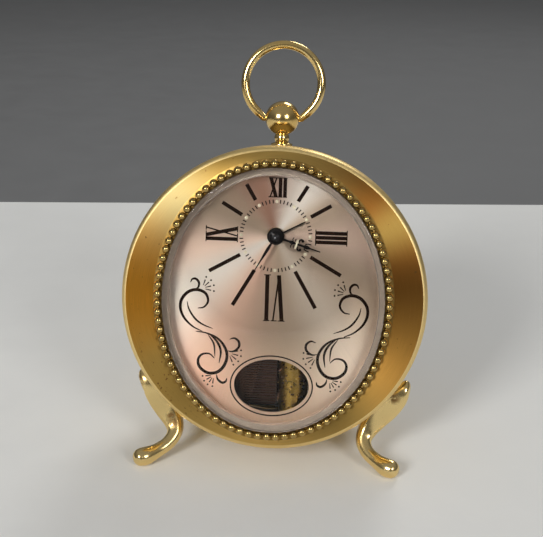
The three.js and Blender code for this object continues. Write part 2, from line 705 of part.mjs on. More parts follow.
// The pendant is turned about the z axis: outline corners are [radius, height].
function pendant() {
  const flangeBottom = DRUM_RADIUS + GAP;
  const flangeTop = flangeBottom + PENDANT_FLANGE_SHEET;
  const shankEnd = DRUM_BORE - PENDANT_NUT_SHEET - 3 * GAP;
  const outline = [
    [0, shankEnd], [PENDANT_SHANK_RADIUS, shankEnd], [PENDANT_SHANK_RADIUS, flangeBottom],
    [PENDANT_FLANGE_RADIUS, flangeBottom], [PENDANT_FLANGE_RADIUS, flangeTop],
    [PENDANT_NECK_RADIUS, flangeTop + PENDANT_FLANGE_SHEET],
  ];
  const neck = Math.asin(PENDANT_NECK_RADIUS / PENDANT_BALL_RADIUS);
  const steps = 6;
  for (let i = 0; i <= steps; i += 1) {
    const turn = neck + (Math.PI - neck) * i / steps;
    const radius = i === steps ? 0 : PENDANT_BALL_RADIUS * Math.sin(turn);
    outline.push([radius, PENDANT_BALL_HEIGHT - PENDANT_BALL_RADIUS * Math.cos(turn)]);
  }
  const body = turned(outline, 14).rotateX(Math.PI / 2);
  const bore = rod(BOW_PIN_RADIUS + GAP, -2 * PENDANT_BALL_RADIUS, 2 * PENDANT_BALL_RADIUS);
  bore.rotateZ(Math.PI / 2).translate(0, 0, PENDANT_BALL_HEIGHT);
  return cut(body, bore).translate(0, PENDANT_DEPTH, 0);
}

function pendantNut() {
  const top = DRUM_BORE - 2 * GAP;
  const hexagon = disc(0, 0, PENDANT_NUT_RADIUS, 6);
  hexagon.holes.push(circle(0, 0, PENDANT_SHANK_RADIUS + GAP, SMALL_ROUND));
  const nut = plate(hexagon, top - PENDANT_NUT_SHEET, top);
  return nut.rotateX(Math.PI / 2).translate(0, PENDANT_DEPTH, 0);
}

// The bow is an open ring whose two ends turn in to pins on the cross axis of the ball.
function bow() {
  const inner = PENDANT_BALL_RADIUS - BOW_PIN_LENGTH;
  const outer = PENDANT_BALL_RADIUS + GAP;
  const start = THREE.MathUtils.degToRad(-50);
  const steps = 18;
  const path = [[inner, 0, BOW_PIN_RADIUS], [outer, 0, BOW_PIN_RADIUS]];
  for (let i = 0; i <= steps; i += 1) {
    const angle = start + (Math.PI - 2 * start) * i / steps;
    const [x, z] = [BOW_RADIUS * Math.cos(angle), BOW_OFFSET + BOW_RADIUS * Math.sin(angle)];
    path.push([x, z, BOW_WIRE_RADIUS]);
  }
  path.push([-outer, 0, BOW_PIN_RADIUS], [-inner, 0, BOW_PIN_RADIUS]);
  return wire(path, FEW_SIDES);
}

// A round wire bent in the x-z plane, through [x, z, radius] stations.
function wire(path, sides) {
  const loops = path.map(([x, z, radius], i) => {
    const before = path[Math.max(i - 1, 0)];
    const after = path[Math.min(i + 1, path.length - 1)];
    const along = new THREE.Vector2(after[0] - before[0], after[1] - before[1]).normalize();
    const loop = [];
    for (let side = 0; side < sides; side += 1) {
      const turn = 2 * Math.PI * side / sides;
      const across = radius * Math.cos(turn);
      loop.push(new THREE.Vector3(x - along.y * across, radius * Math.sin(turn), z + along.x * across));
    }
    return loop;
  });
  return loft(loops);
}

// Legs

// Stations down the right leg, from the tip behind the bezel to the toe: how far out from the
// saddle and how far down to the toe its middle is, half its width, and half its thickness on the
// outside and on the side of the drum.
function legStations() {
  const saddle = new THREE.Vector2(Math.cos(LEG_SADDLE_ANGLE), Math.sin(LEG_SADDLE_ANGLE));
  saddle.multiplyScalar(DRUM_RADIUS);
  const toe = (FLOOR + TOE_RADIUS - TOE_FLAT + TOE_DEPTH * Math.sin(LEAN)) / Math.cos(LEAN);
  return [
    { out: 7.5, down: -0.21, y: LEG_DEPTH, wide: 2.0, thick: 0.8, inner: 0.8 },
    { out: 7.3, down: -0.132, y: LEG_DEPTH, wide: 3.2, thick: 1.8, inner: 1.8 },
    { out: 6.0, down: 0.032, y: LEG_DEPTH, wide: 3.9, thick: 2.3, inner: LEG_SADDLE_REACH },
    { out: 3.5, down: 0.202, y: LEG_DEPTH, wide: 4.1, thick: 2.5, inner: LEG_SADDLE_REACH },
    { out: 0.6, down: 0.362, y: 8.6, wide: 4.0, thick: 2.5, inner: LEG_SADDLE_REACH },
    { out: -2.0, down: 0.536, y: 7.7, wide: 3.4, thick: 2.3, inner: 2.3 },
    { out: -2.7, down: 0.691, y: 6.3, wide: 2.4, thick: 1.9, inner: 1.9 },
    { out: -0.8, down: 0.831, y: 4.6, wide: 1.9, thick: 1.7, inner: 1.7 },
    { out: 1.8, down: 0.933, y: 2.7, wide: 2.0, thick: 1.9, inner: 1.9 },
    { out: 4.6, down: 1, y: TOE_DEPTH, wide: TOE_RADIUS, thick: TOE_RADIUS, inner: TOE_RADIUS },
    { out: 6.1, down: 1.01, y: TOE_DEPTH - 0.7, ...toeEnd(0.82) },
    { out: 6.9, down: 1.015, y: TOE_DEPTH - 1, ...toeEnd(0.4) },
  ].map((station) => ({
    ...station,
    x: saddle.x + station.out,
    z: THREE.MathUtils.lerp(saddle.y, toe, station.down),
  }));
}

function toeEnd(share) {
  return { wide: share * TOE_RADIUS, thick: share * TOE_RADIUS, inner: share * TOE_RADIUS };
}

function leg(mirrored) {
  const sides = FEW_SIDES;
  const stations = legStations();
  const loops = stations.map((station, i) => {
    const before = stations[Math.max(i - 1, 0)];
    const after = stations[Math.min(i + 1, stations.length - 1)];
    const along = new THREE.Vector2(after.x - before.x, after.z - before.z).normalize();
    const loop = [];
    for (let k = 0; k < sides; k += 1) {
      const turn = 2 * Math.PI * k / sides;
      const side = Math.cos(turn);
      const across = side * (side > 0 ? station.thick : station.inner);
      const x = station.x - along.y * across;
      const y = station.y + station.wide * Math.sin(turn);
      loop.push(new THREE.Vector3(x, y, station.z + along.x * across));
    }
    return loop;
  });
  const screwEnd = DRUM_RADIUS + LEG_SCREW_REACH;
  const screwHole = radialRod(LEG_SCREW_RADIUS + GAP, LEG_SADDLE_ANGLE, LEG_DEPTH, DRUM_RADIUS, screwEnd);
  const table = new THREE.BoxGeometry(4 * RIM_RADIUS, 4 * RIM_RADIUS, RIM_RADIUS);
  table.translate(0, 0, FLOOR - RIM_RADIUS / 2).rotateX(LEAN);
  const caseSpace = rod(DRUM_RADIUS + GAP, 0, DRUM_DEPTH, ROUND);
  const casting = cut(loft(loops), caseSpace, screwHole, table);
  if (mirrored) casting.scale(-1, 1, 1);
  return casting;
}

function legScrew(side) {
  const tip = DRUM_RADIUS + LEG_SCREW_REACH - GAP;
  const headTop = DRUM_BORE - 2 * GAP;
  const headBottom = headTop - LEG_SCREW_RADIUS;
  const screw = turned([
    [0, headBottom], [LEG_SCREW_HEAD, headBottom], [LEG_SCREW_HEAD, headTop],
    [LEG_SCREW_RADIUS, headTop], [LEG_SCREW_RADIUS, tip], [0, tip],
  ], FEW_SIDES);
  return screw.rotateX(Math.PI / 2).rotateY(Math.PI / 2 - saddleAngle(side)).translate(0, LEG_DEPTH, 0);
}

// Clock movement

const cannonBore = PIVOT_RADIUS + GAP;
const cannonPipe = cannonBore + PIPE_WALL;
const hourBore = cannonPipe + GAP;
const hourPipe = hourBore + PIPE_WALL;
const alarmBore = hourPipe + GAP;
const alarmPipe = alarmBore + PIPE_WALL;
const dialHole = alarmPipe + GAP;

// The hands stack up in front of the dial: alarm hand, hour hand, minute hand, hub nut.
const alarmHandBack = DIAL_FRONT - 2 * GAP;
const hourPipeFront = alarmHandBack - HAND_SHEET - GAP;
const hourHandBack = hourPipeFront - GAP;
const cannonFront = hourHandBack - HAND_SHEET - GAP;
const minuteHandBack = cannonFront - GAP;
const hubNutBack = minuteHandBack - HAND_SHEET - GAP;
const centreTip = hubNutBack - 2 * GAP;

const frontPlateBack = FRONT_PLATE_DEPTH + PLATE_SHEET;

function plateDisc(holes) {
  const sheet = disc(PLATE_CENTRE_X, PLATE_CENTRE_Z, PLATE_RADIUS, 24);
  for (const [place, radius] of holes) sheet.holes.push(circle(place.x, place.y, radius));
  return sheet;
}

// The front plate carries the stud that the minute wheel turns on.
function frontPlate() {
  const sheet = plateDisc([
    [HUB, PIVOT_RADIUS + GAP],
    [THIRD_ARBOR, PIVOT_RADIUS + GAP],
    [TIME_ARBOR, PIVOT_RADIUS + GAP],
    [BALANCE, PIVOT_RADIUS + GAP],
    [ALARM_ARBOR, ARBOR_RADIUS + GAP],
  ]);
  const stud = rod(ARBOR_RADIUS, HOUR_WHEEL_DEPTH - GAP, FRONT_PLATE_DEPTH + PLATE_SHEET / 2, FEW_SIDES);
  stud.translate(MINUTE_STUD.x, 0, MINUTE_STUD.y);
  return join(plate(sheet, FRONT_PLATE_DEPTH, frontPlateBack), stud);
}

// The back plate carries the stud that the regulator turns on, over the balance pivot.
function backPlate() {
  const sheet = plateDisc([
    [HUB, ARBOR_RADIUS + GAP],
    [THIRD_ARBOR, PIVOT_RADIUS + GAP],
    [TIME_ARBOR, WINDING_ARBOR_RADIUS + GAP],
    [ALARM_ARBOR, ARBOR_RADIUS + GAP],
    [STOP, STOP_STEM_RADIUS + GAP],
  ]);
  const studBack = BACK_PLATE_BACK + REGULATOR_SHEET + 2 * GAP;
  const stud = rod(ARBOR_RADIUS, BACK_PLATE_DEPTH + PLATE_SHEET / 2, studBack, FEW_SIDES);
  const pivotDepth = BACK_PLATE_DEPTH + PLATE_SHEET / 2;
  const pivotHole = rod(PIVOT_RADIUS + GAP, BACK_PLATE_DEPTH - 1, pivotDepth, FEW_SIDES);
  stud.translate(BALANCE.x, 0, BALANCE.y);
  pivotHole.translate(BALANCE.x, 0, BALANCE.y);
  return cut(join(plate(sheet, BACK_PLATE_DEPTH, BACK_PLATE_BACK), stud), pivotHole);
}

// An arbor between the plates, with a thinner pivot at each end.
function arbor(radius, backPivotEnd = BACK_PLATE_DEPTH + PLATE_SHEET / 2) {
  const shoulderFront = frontPlateBack + GAP;
  const shoulderBack = BACK_PLATE_DEPTH - GAP;
  const pivotFront = FRONT_PLATE_DEPTH + GAP;
  return turned([
    [0, pivotFront], [PIVOT_RADIUS, pivotFront], [PIVOT_RADIUS, shoulderFront],
    [radius, shoulderFront], [radius, shoulderBack], [PIVOT_RADIUS, shoulderBack],
    [PIVOT_RADIUS, backPivotEnd], [0, backPivotEnd],
  ], FEW_SIDES);
}

function centreArbor() {
  const shoulder = frontPlateBack + GAP;
  const knobEnd = COVER_BACK + SIDE_GAP + KNOB_LENGTH / 2;
  const shaft = turned([
    [0, centreTip], [PIVOT_RADIUS, centreTip], [PIVOT_RADIUS, shoulder],
    [ARBOR_RADIUS, shoulder], [ARBOR_RADIUS, knobEnd], [0, knobEnd],
  ], FEW_SIDES);
  const wheel = gearShape(CENTRE_WHEEL_TEETH, CENTRE_MODULE, THIRD_ANGLE);
  const pinion = gearShape(PINION_LEAVES, BARREL_MODULE, BARREL_ANGLE);
  const pinionBack = BARREL_TEETH_DEPTH + BARREL_FLANGE + GAP;
  return join(
    shaft,
    plate(wheel, CENTRE_WHEEL_DEPTH, CENTRE_WHEEL_DEPTH + WHEEL_SHEET),
    plate(pinion, BARREL_TEETH_DEPTH - GAP, pinionBack),
  );
}

function cannonPinion() {
  const pinion = gearShape(PINION_LEAVES, CANNON_MODULE, MINUTE_WHEEL_ANGLE, cannonBore);
  const tube = pipe(cannonBore, cannonPipe, cannonFront, CANNON_DEPTH + WHEEL_SHEET / 2);
  return join(tube, plate(pinion, CANNON_DEPTH, CANNON_DEPTH + WHEEL_SHEET, 4));
}

function minuteWheel() {
  const bore = ARBOR_RADIUS + GAP;
  const wheelPhase = meshPhase(MINUTE_WHEEL_ANGLE, MINUTE_WHEEL_TEETH);
  const wheel = gearShape(MINUTE_WHEEL_TEETH, CANNON_MODULE, wheelPhase, bore);
  const pinion = gearShape(PINION_LEAVES, HOUR_MODULE, MINUTE_WHEEL_ANGLE + Math.PI, bore);
  return join(
    plate(pinion, HOUR_WHEEL_DEPTH - GAP, CANNON_DEPTH + WHEEL_SHEET / 2, 3),
    plate(wheel, CANNON_DEPTH, CANNON_DEPTH + WHEEL_SHEET, 3),
  );
}

function hourWheel() {
  const phase = MINUTE_WHEEL_ANGLE + Math.PI / HOUR_WHEEL_TEETH;
  const wheel = gearShape(HOUR_WHEEL_TEETH, HOUR_MODULE, phase, hourBore);
  const back = HOUR_WHEEL_DEPTH + HOUR_WHEEL_SHEET;
  const tube = pipe(hourBore, hourPipe, hourPipeFront, back - HOUR_WHEEL_SHEET / 2);
  return join(tube, plate(wheel, HOUR_WHEEL_DEPTH, back, 4));
}

function alarmWheel() {
  const wheel = gearShape(ALARM_WHEEL_TEETH, ALARM_MODULE, ALARM_ARBOR_ANGLE, alarmBore);
  const back = ALARM_WHEEL_DEPTH + ALARM_WHEEL_SHEET;
  const tube = pipe(alarmBore, alarmPipe, alarmHandBack + GAP, back - ALARM_WHEEL_SHEET / 2);
  return join(tube, plate(wheel, ALARM_WHEEL_DEPTH, back, 4));
}

function alarmArbor() {
  const knobEnd = COVER_BACK + SIDE_GAP + KNOB_LENGTH / 2;
  const shaft = rod(ARBOR_RADIUS, DIAL_BACK + GAP, knobEnd, FEW_SIDES);
  const phase = meshPhase(ALARM_ARBOR_ANGLE, ALARM_PINION_TEETH);
  const pinion = gearShape(ALARM_PINION_TEETH, ALARM_MODULE, phase);
  const pinionBack = ALARM_WHEEL_DEPTH + ALARM_WHEEL_SHEET + GAP;
  return join(shaft, plate(pinion, ALARM_WHEEL_DEPTH - GAP, pinionBack));
}

function thirdWheel() {
  const pinion = gearShape(PINION_LEAVES, CENTRE_MODULE, meshPhase(THIRD_ANGLE, PINION_LEAVES));
  const wheel = gearShape(THIRD_WHEEL_TEETH, CENTRE_MODULE, 0);
  const pinionBack = CENTRE_WHEEL_DEPTH + WHEEL_SHEET + GAP;
  return join(
    arbor(ARBOR_RADIUS),
    plate(pinion, CENTRE_WHEEL_DEPTH - GAP / 2, pinionBack),
    plate(wheel, THIRD_WHEEL_DEPTH, THIRD_WHEEL_DEPTH + WHEEL_SHEET),
  );
}

function timeBarrel() {
  const bore = WINDING_ARBOR_RADIUS + GAP;
  const flange = gearShape(BARREL_TEETH, BARREL_MODULE, meshPhase(BARREL_ANGLE, BARREL_TEETH), bore);
  return join(
    pipe(bore, BARREL_DRUM_RADIUS, BARREL_FRONT, BARREL_TEETH_DEPTH + BARREL_FLANGE / 2, 16),
    plate(flange, BARREL_TEETH_DEPTH, BARREL_TEETH_DEPTH + BARREL_FLANGE, 4),
  );
}

// The time barrel's arbor, with its ratchet wheel behind the back plate.
function timeArbor() {
  const shoulder = frontPlateBack + GAP;
  const shaft = turned([
    [0, FRONT_PLATE_DEPTH + GAP], [PIVOT_RADIUS, FRONT_PLATE_DEPTH + GAP], [PIVOT_RADIUS, shoulder],
    [WINDING_ARBOR_RADIUS, shoulder], [WINDING_ARBOR_RADIUS, arborEnd], [0, arborEnd],
  ]);
  const ratchet = gearShape(RATCHET_TEETH, BARREL_MODULE, 0);
  return join(shaft, plate(ratchet, BACK_PLATE_BACK + GAP, BACK_PLATE_BACK + GAP + WHEEL_SHEET));
}

function balanceWheel() {
  const inner = BALANCE_RADIUS - BALANCE_RIM;
  const half = BALANCE_ARM / 2;
  const rim = disc(0, 0, BALANCE_RADIUS, 18);
  const lean = Math.asin(half / inner);
  for (const turn of [0, Math.PI]) {
    const opening = new THREE.Path();
    opening.absarc(0, 0, inner, turn + Math.PI - lean, turn + lean, true);
    opening.closePath();
    rim.holes.push(opening);
  }
  const hub = rod(2 * ARBOR_RADIUS, BALANCE_DEPTH - WHEEL_SHEET, BALANCE_DEPTH + 2 * WHEEL_SHEET);
  const staff = arbor(ARBOR_RADIUS, BACK_PLATE_DEPTH + PLATE_SHEET / 2 - GAP);
  return join(plate(rim, BALANCE_DEPTH, BALANCE_DEPTH + WHEEL_SHEET, 4), hub, staff);
}

function pillar() {
  return rod(PILLAR_RADIUS, frontPlateBack + GAP, BACK_PLATE_DEPTH - GAP, FEW_SIDES);
}

// Hands

// A plain needle hand that points up from its boss.
function needle(length, [base, tip], boss) {
  const lean = Math.asin(base / boss);
  const shape = new THREE.Shape();
  shape.absarc(0, 0, boss, Math.PI / 2 + lean, 2.5 * Math.PI - lean, false);
  shape.lineTo(tip, length - 2 * tip);
  shape.lineTo(0, length);
  shape.lineTo(-tip, length - 2 * tip);
  shape.closePath();
  return shape;
}

function minuteHand() {
  const shape = needle(MINUTE_HAND_LENGTH, MINUTE_HAND_HALF_WIDTHS, MINUTE_HAND_BOSS);
  shape.holes.push(circle(0, 0, cannonBore));
  return plate(shape, minuteHandBack - HAND_SHEET, minuteHandBack, 6);
}

// The hour hand is openwork: a pair of scrolls on a stem with a leaf point.
function hourHand() {
  const [front, back] = [hourHandBack - HAND_SHEET, hourHandBack];
  const stem = needle(HOUR_HAND_LENGTH, HOUR_HAND_HALF_WIDTHS, HOUR_HAND_BOSS);
  stem.holes.push(circle(0, 0, hourBore));
  const scrollOffset = HOUR_SCROLL_RADIUS - 0.05;
  const scrolls = [-1, 1].map((side) => {
    const [x, y] = [side * scrollOffset, HOUR_HAND_LENGTH / 2];
    const scroll = disc(x, y, HOUR_SCROLL_RADIUS);
    scroll.holes.push(circle(x, y, HOUR_SCROLL_RADIUS - HOUR_SCROLL_WIRE));
    return plate(scroll, front, back, 6);
  });
  return join(plate(stem, front, back, 6), ...scrolls);
}

function alarmHand() {
  const shape = needle(ALARM_HAND_LENGTH, ALARM_HAND_HALF_WIDTHS, ALARM_HAND_BOSS);
  shape.holes.push(circle(0, 0, alarmBore));
  return plate(shape, alarmHandBack - HAND_SHEET, alarmHandBack, 6);
}

function hubNut() {
  const outline = [];
  for (const turn of [0, 0.45, 0.8, 1]) {
    const share = Math.sin(turn * Math.PI / 2);
    outline.push([HUB_NUT_RADIUS * share, hubNutBack - HUB_NUT_RISE * Math.cos(turn * Math.PI / 2)]);
  }
  outline.push([0, hubNutBack]);
  return cut(turned(outline, 14), rod(cannonBore, centreTip - GAP, hubNutBack + 1, FEW_SIDES));
}

// Controls on the back

const keyFront = COVER_BACK + SIDE_GAP;
const keySocket = 0.6 * KEY_HUB_LENGTH;
const arborEnd = keyFront + keySocket - GAP;

// A winding key: a hub with a butterfly wing.
function windingKey() {
  const wingFront = keyFront + 0.8 * KEY_HUB_LENGTH;
  const wingBack = wingFront + KEY_WING_HEIGHT;
  const hub = rod(KEY_HUB_RADIUS, keyFront, keyFront + KEY_HUB_LENGTH, 14);
  const wing = new THREE.Shape();
  const middle = (wingFront + wingBack) / 2;
  wing.moveTo(0, wingFront);
  wing.bezierCurveTo(0.5 * KEY_WING_SPAN, wingFront, KEY_WING_SPAN, wingFront, KEY_WING_SPAN, middle);
  wing.bezierCurveTo(KEY_WING_SPAN, wingBack, 0.5 * KEY_WING_SPAN, wingBack, 0, middle + 1);
  wing.bezierCurveTo(-0.5 * KEY_WING_SPAN, wingBack, -KEY_WING_SPAN, wingBack, -KEY_WING_SPAN, middle);
  wing.bezierCurveTo(-KEY_WING_SPAN, wingFront, -0.5 * KEY_WING_SPAN, wingFront, 0, wingFront);
  const socket = rod(WINDING_ARBOR_RADIUS + GAP, keyFront - 1, keyFront + keySocket);
  return cut(join(hub, shelf(wing, -KEY_WING_SHEET / 2, KEY_WING_SHEET / 2, 4)), socket);
}

function knob() {
  const back = keyFront + KNOB_LENGTH;
  const body = turned([
    [0, keyFront], [KNOB_RADIUS - KNOB_BEVEL, keyFront], [KNOB_RADIUS, keyFront + KNOB_BEVEL],
    [KNOB_RADIUS, back - KNOB_BEVEL], [KNOB_RADIUS - KNOB_BEVEL, back], [0, back],
  ]);
  return cut(body, rod(ARBOR_RADIUS + GAP, keyFront - 1, keyFront + KNOB_LENGTH / 2 + GAP, FEW_SIDES));
}

function stopButton() {
  const front = BACK_PLATE_DEPTH - GAP;
  const capFront = COVER_BACK + STOP_TRAVEL + GAP;
  const capBack = capFront + STOP_CAP_LENGTH;
  return turned([
    [0, front], [STOP_STEM_RADIUS, front], [STOP_STEM_RADIUS, capFront], [STOP_CAP_RADIUS, capFront],
    [STOP_CAP_RADIUS, capBack - KNOB_BEVEL], [STOP_CAP_RADIUS - KNOB_BEVEL, capBack], [0, capBack],
  ]);
}

// The regulator lever points along x and its tail reaches out through the back cover.
function regulator() {
  const [front, back] = [BACK_PLATE_BACK + GAP, BACK_PLATE_BACK + GAP + REGULATOR_SHEET];
  const eye = disc(0, 0, 2.5 * ARBOR_RADIUS);
  const end = REGULATOR_LENGTH + REGULATOR_TAIL_RADIUS;
  const half = REGULATOR_TAIL_RADIUS;
  const arm = roundedRectangle(-half, end, -half, half, 0.8 * half);
  const tail = rod(half, front + REGULATOR_SHEET / 2, COVER_BACK + REGULATOR_TAIL_REACH, FEW_SIDES);
  tail.translate(REGULATOR_LENGTH, 0, 0);
  const lever = join(plate(eye, front, back), plate(arm, front, back, 2), tail);
  return cut(lever, rod(ARBOR_RADIUS + GAP, front - 1, back + 1, FEW_SIDES));
}

// Music movement

const combTip = CYLINDER_X - CYLINDER_RADIUS - CYLINDER_PIN - GAP;
const combLeft = combTip - COMB_LONG_TOOTH - COMB_BASE_WIDTH;
const combFront = CYLINDER_DEPTH - COMB_SHEET / 2;
const combBack = CYLINDER_DEPTH + COMB_SHEET / 2;
const combBottom = WINDOW_HEIGHT - COMB_TEETH * COMB_PITCH / 2;
const combTop = WINDOW_HEIGHT + COMB_TEETH * COMB_PITCH / 2;
const combScrewX = combLeft + COMB_BASE_WIDTH / 3;

function combScrewHeights() {
  return [WINDOW_HEIGHT - COMB_SCREW_SPACING / 2, WINDOW_HEIGHT + COMB_SCREW_SPACING / 2];
}

// Steel comb: the tips line up at the cylinder, and the teeth grow longer towards the bass end.
function comb() {
  const shape = new THREE.Shape();
  shape.moveTo(combLeft, combTop + COMB_PITCH);
  shape.lineTo(combLeft, combBottom - COMB_PITCH);
  shape.lineTo(combTip - COMB_LONG_TOOTH, combBottom - COMB_PITCH);
  for (let tooth = 0; tooth < COMB_TEETH; tooth += 1) {
    const share = tooth / (COMB_TEETH - 1);
    const root = combTip - THREE.MathUtils.lerp(COMB_LONG_TOOTH, COMB_SHORT_TOOTH, share);
    const low = combBottom + tooth * COMB_PITCH + COMB_SLOT / 2;
    const high = combBottom + (tooth + 1) * COMB_PITCH - COMB_SLOT / 2;
    shape.lineTo(root, low);
    shape.lineTo(combTip, low);
    shape.lineTo(combTip, high);
    shape.lineTo(root, high);
  }
  shape.lineTo(combTip - COMB_SHORT_TOOTH, combTop + COMB_PITCH);
  shape.closePath();
  for (const z of combScrewHeights()) {
    shape.holes.push(circle(combScrewX, z, COMB_SCREW_RADIUS + GAP));
  }
  return plate(shape, combFront, combBack, 3);
}

function combBase() {
  const right = combLeft + 0.8 * COMB_BASE_WIDTH;
  const block = roundedRectangle(combLeft, right, combBottom - COMB_PITCH, combTop + COMB_PITCH, 0.8);
  const front = combBack + GAP;
  const holes = combScrewHeights().map((z) => {
    const hole = rod(COMB_SCREW_RADIUS + GAP, front - 1, front + COMB_SCREW_DEPTH, FEW_SIDES);
    return hole.translate(combScrewX, 0, z);
  });
  return cut(plate(block, front, BEDPLATE_DEPTH - GAP, 2), ...holes);
}

function combScrew() {
  const headBack = combFront - GAP;
  const headFront = headBack - COMB_SCREW_RADIUS;
  const tip = combBack + COMB_SCREW_DEPTH - GAP;
  return turned([
    [0, headFront], [COMB_SCREW_HEAD, headFront], [COMB_SCREW_HEAD, headBack],
    [COMB_SCREW_RADIUS, headBack], [COMB_SCREW_RADIUS, tip], [0, tip],
  ], FEW_SIDES);
}

// Pinned cylinder about its own z axis, with the pinion that the barrel's crown drives.
function musicCylinder() {
  const arborBottom = BOTTOM_BRACKET - SIDE_GAP;
  const pinionBottom = MUSIC_PINION_HEIGHT - MUSIC_PINION_WIDTH / 2;
  const arborTop = pinionBottom + MUSIC_PINION_WIDTH + SIDE_GAP;
  const body = turned([
    [0, arborBottom], [ARBOR_RADIUS, arborBottom], [ARBOR_RADIUS, CYLINDER_BOTTOM],
    [CYLINDER_RADIUS, CYLINDER_BOTTOM], [CYLINDER_RADIUS, CYLINDER_TOP],
    [ARBOR_RADIUS, CYLINDER_TOP], [ARBOR_RADIUS, arborTop], [0, arborTop],
  ], 16).rotateX(Math.PI / 2);
  const module = 2 * MUSIC_PINION_RADIUS / MUSIC_PINION_TEETH;
  const pinionShape = gearShape(MUSIC_PINION_TEETH, module, Math.PI / 2);
  const pinion = shelf(pinionShape, pinionBottom, pinionBottom + MUSIC_PINION_WIDTH);
  const pins = [];
  const goldenTurn = Math.PI * (3 - Math.sqrt(5));
  for (let tooth = 0; tooth < COMB_TEETH; tooth += 1) {
    for (let pin = 0; pin < CYLINDER_PINS_PER_TOOTH; pin += 1) {
      const turn = goldenTurn * (tooth * CYLINDER_PINS_PER_TOOTH + pin);
      const height = combBottom + (tooth + 0.5) * COMB_PITCH;
      const point = new THREE.ConeGeometry(CYLINDER_PIN, 2 * CYLINDER_PIN, 4).rotateZ(-Math.PI / 2);
      pins.push(point.translate(CYLINDER_RADIUS, 0, 0).rotateZ(turn).translate(0, 0, height));
    }
  }
  return join(body, pinion, ...pins);
}

function bracket(bottom) {
  const front = CYLINDER_DEPTH - BRACKET_HALF_WIDTH;
  const shape = roundedRectangle(-BRACKET_HALF_WIDTH, BRACKET_HALF_WIDTH, front, BEDPLATE_DEPTH - GAP, 1.5);
  shape.holes.push(circle(0, CYLINDER_DEPTH, ARBOR_RADIUS + GAP));
  return shelf(shape, bottom, bottom + BRACKET_SHEET, 4);
}

// The music spring barrel, with crown teeth on its front rim.
function musicBarrel() {
  const pitchPlane = CYLINDER_DEPTH + MUSIC_PINION_RADIUS;
  const module = 2 * MUSIC_PINION_RADIUS / MUSIC_PINION_TEETH;
  const crownTip = pitchPlane - 0.5 * module;
  const front = pitchPlane + 1.4 * module;
  const back = BEDPLATE_DEPTH - 2 * GAP;
  const drum = pipe(WINDING_ARBOR_RADIUS + GAP, MUSIC_BARREL_RADIUS, front, back, 16);
  const toothWidth = 0.36 * 2 * Math.PI * CROWN_RADIUS / CROWN_TEETH;
  const toothHeight = front + GAP - crownTip;
  const teeth = [];
  for (let tooth = 0; tooth < CROWN_TEETH; tooth += 1) {
    const turn = 2 * Math.PI * (tooth + 0.5) / CROWN_TEETH;
    const box = new THREE.BoxGeometry(toothWidth, toothHeight, MUSIC_PINION_WIDTH + GAP);
    teeth.push(box.translate(0, crownTip + toothHeight / 2, CROWN_RADIUS).rotateY(turn));
  }
  return join(drum, ...teeth);
}

function musicArbor() {
  return rod(WINDING_ARBOR_RADIUS, CYLINDER_DEPTH + MUSIC_PINION_RADIUS, arborEnd);
}

function bedplate() {
  const shape = roundedRectangle(
    -BEDPLATE_HALF_WIDTH, BEDPLATE_HALF_WIDTH, BEDPLATE_BOTTOM, BEDPLATE_TOP, BEDPLATE_CORNER,
  );
  shape.holes.push(circle(MUSIC_ARBOR.x, MUSIC_ARBOR.y, WINDING_ARBOR_RADIUS + GAP));
  return plate(shape, BEDPLATE_DEPTH, BEDPLATE_DEPTH + BEDPLATE_SHEET, 4);
}

// The posts stand behind the bedplate's corners, clear of the barrel's arbor.
function musicPostPlaces() {
  const x = BEDPLATE_HALF_WIDTH - MUSIC_POST_INSET;
  const low = BEDPLATE_BOTTOM + MUSIC_POST_INSET + MUSIC_POST_RADIUS;
  const high = BEDPLATE_TOP - MUSIC_POST_INSET;
  return [[-x, high], [x, low], [-x, low]].map(([across, up]) => new THREE.Vector2(across, up));
}

function musicPost() {
  return rod(MUSIC_POST_RADIUS, BEDPLATE_DEPTH + BEDPLATE_SHEET + GAP, COVER_FRONT - GAP, FEW_SIDES);
}

// Assembly

add('case_drum', caseDrum(), polishedBrass);
add('bezel', bezel(), brushedBrass);
add('beaded_rim', beadedRim(), polishedBrass);
add('crystal', crystal(), acrylic);
add('dial_ring', dialRing(), silvered);
add('dial', dial(), silvered);
add('back_cover', backCover(), brushedBrass);
coverScrewPlaces().forEach((place, i) => addAt(`back_cover_screw_${i + 1}`, place, coverScrew(), steel));

add('pendant', pendant(), polishedBrass);
add('pendant_nut', pendantNut(), steel);
add('bow_ring', bow(), polishedBrass).position.set(0, PENDANT_DEPTH, PENDANT_BALL_HEIGHT);
['right', 'left'].forEach((name, side) => {
  add(`leg_${name}`, leg(name === 'left'), polishedBrass);
  add(`leg_screw_${name}`, legScrew(side), steel);
});

add('movement_front_plate', frontPlate(), wheelBrass);
add('movement_back_plate', backPlate(), wheelBrass);
PILLAR_ANGLES.forEach((degrees, i) => {
  const angle = THREE.MathUtils.degToRad(degrees);
  const x = PLATE_CENTRE_X + PILLAR_CIRCLE * Math.cos(angle);
  const z = PLATE_CENTRE_Z + PILLAR_CIRCLE * Math.sin(angle);
  addAt(`movement_pillar_${i + 1}`, new THREE.Vector2(x, z), pillar(), steel);
});
addAt('centre_arbor', HUB, centreArbor(), wheelBrass);
addAt('cannon_pinion', HUB, cannonPinion(), steel);
addAt('minute_wheel', MINUTE_STUD, minuteWheel(), wheelBrass);
addAt('hour_wheel', HUB, hourWheel(), wheelBrass);
addAt('alarm_wheel', HUB, alarmWheel(), wheelBrass);
addAt('alarm_set_arbor', ALARM_ARBOR, alarmArbor(), steel);
addAt('third_wheel', THIRD_ARBOR, thirdWheel(), wheelBrass);
addAt('time_barrel', TIME_ARBOR, timeBarrel(), wheelBrass);
addAt('time_winding_arbor', TIME_ARBOR, timeArbor(), steel);
addAt('balance_wheel', BALANCE, balanceWheel(), wheelBrass);

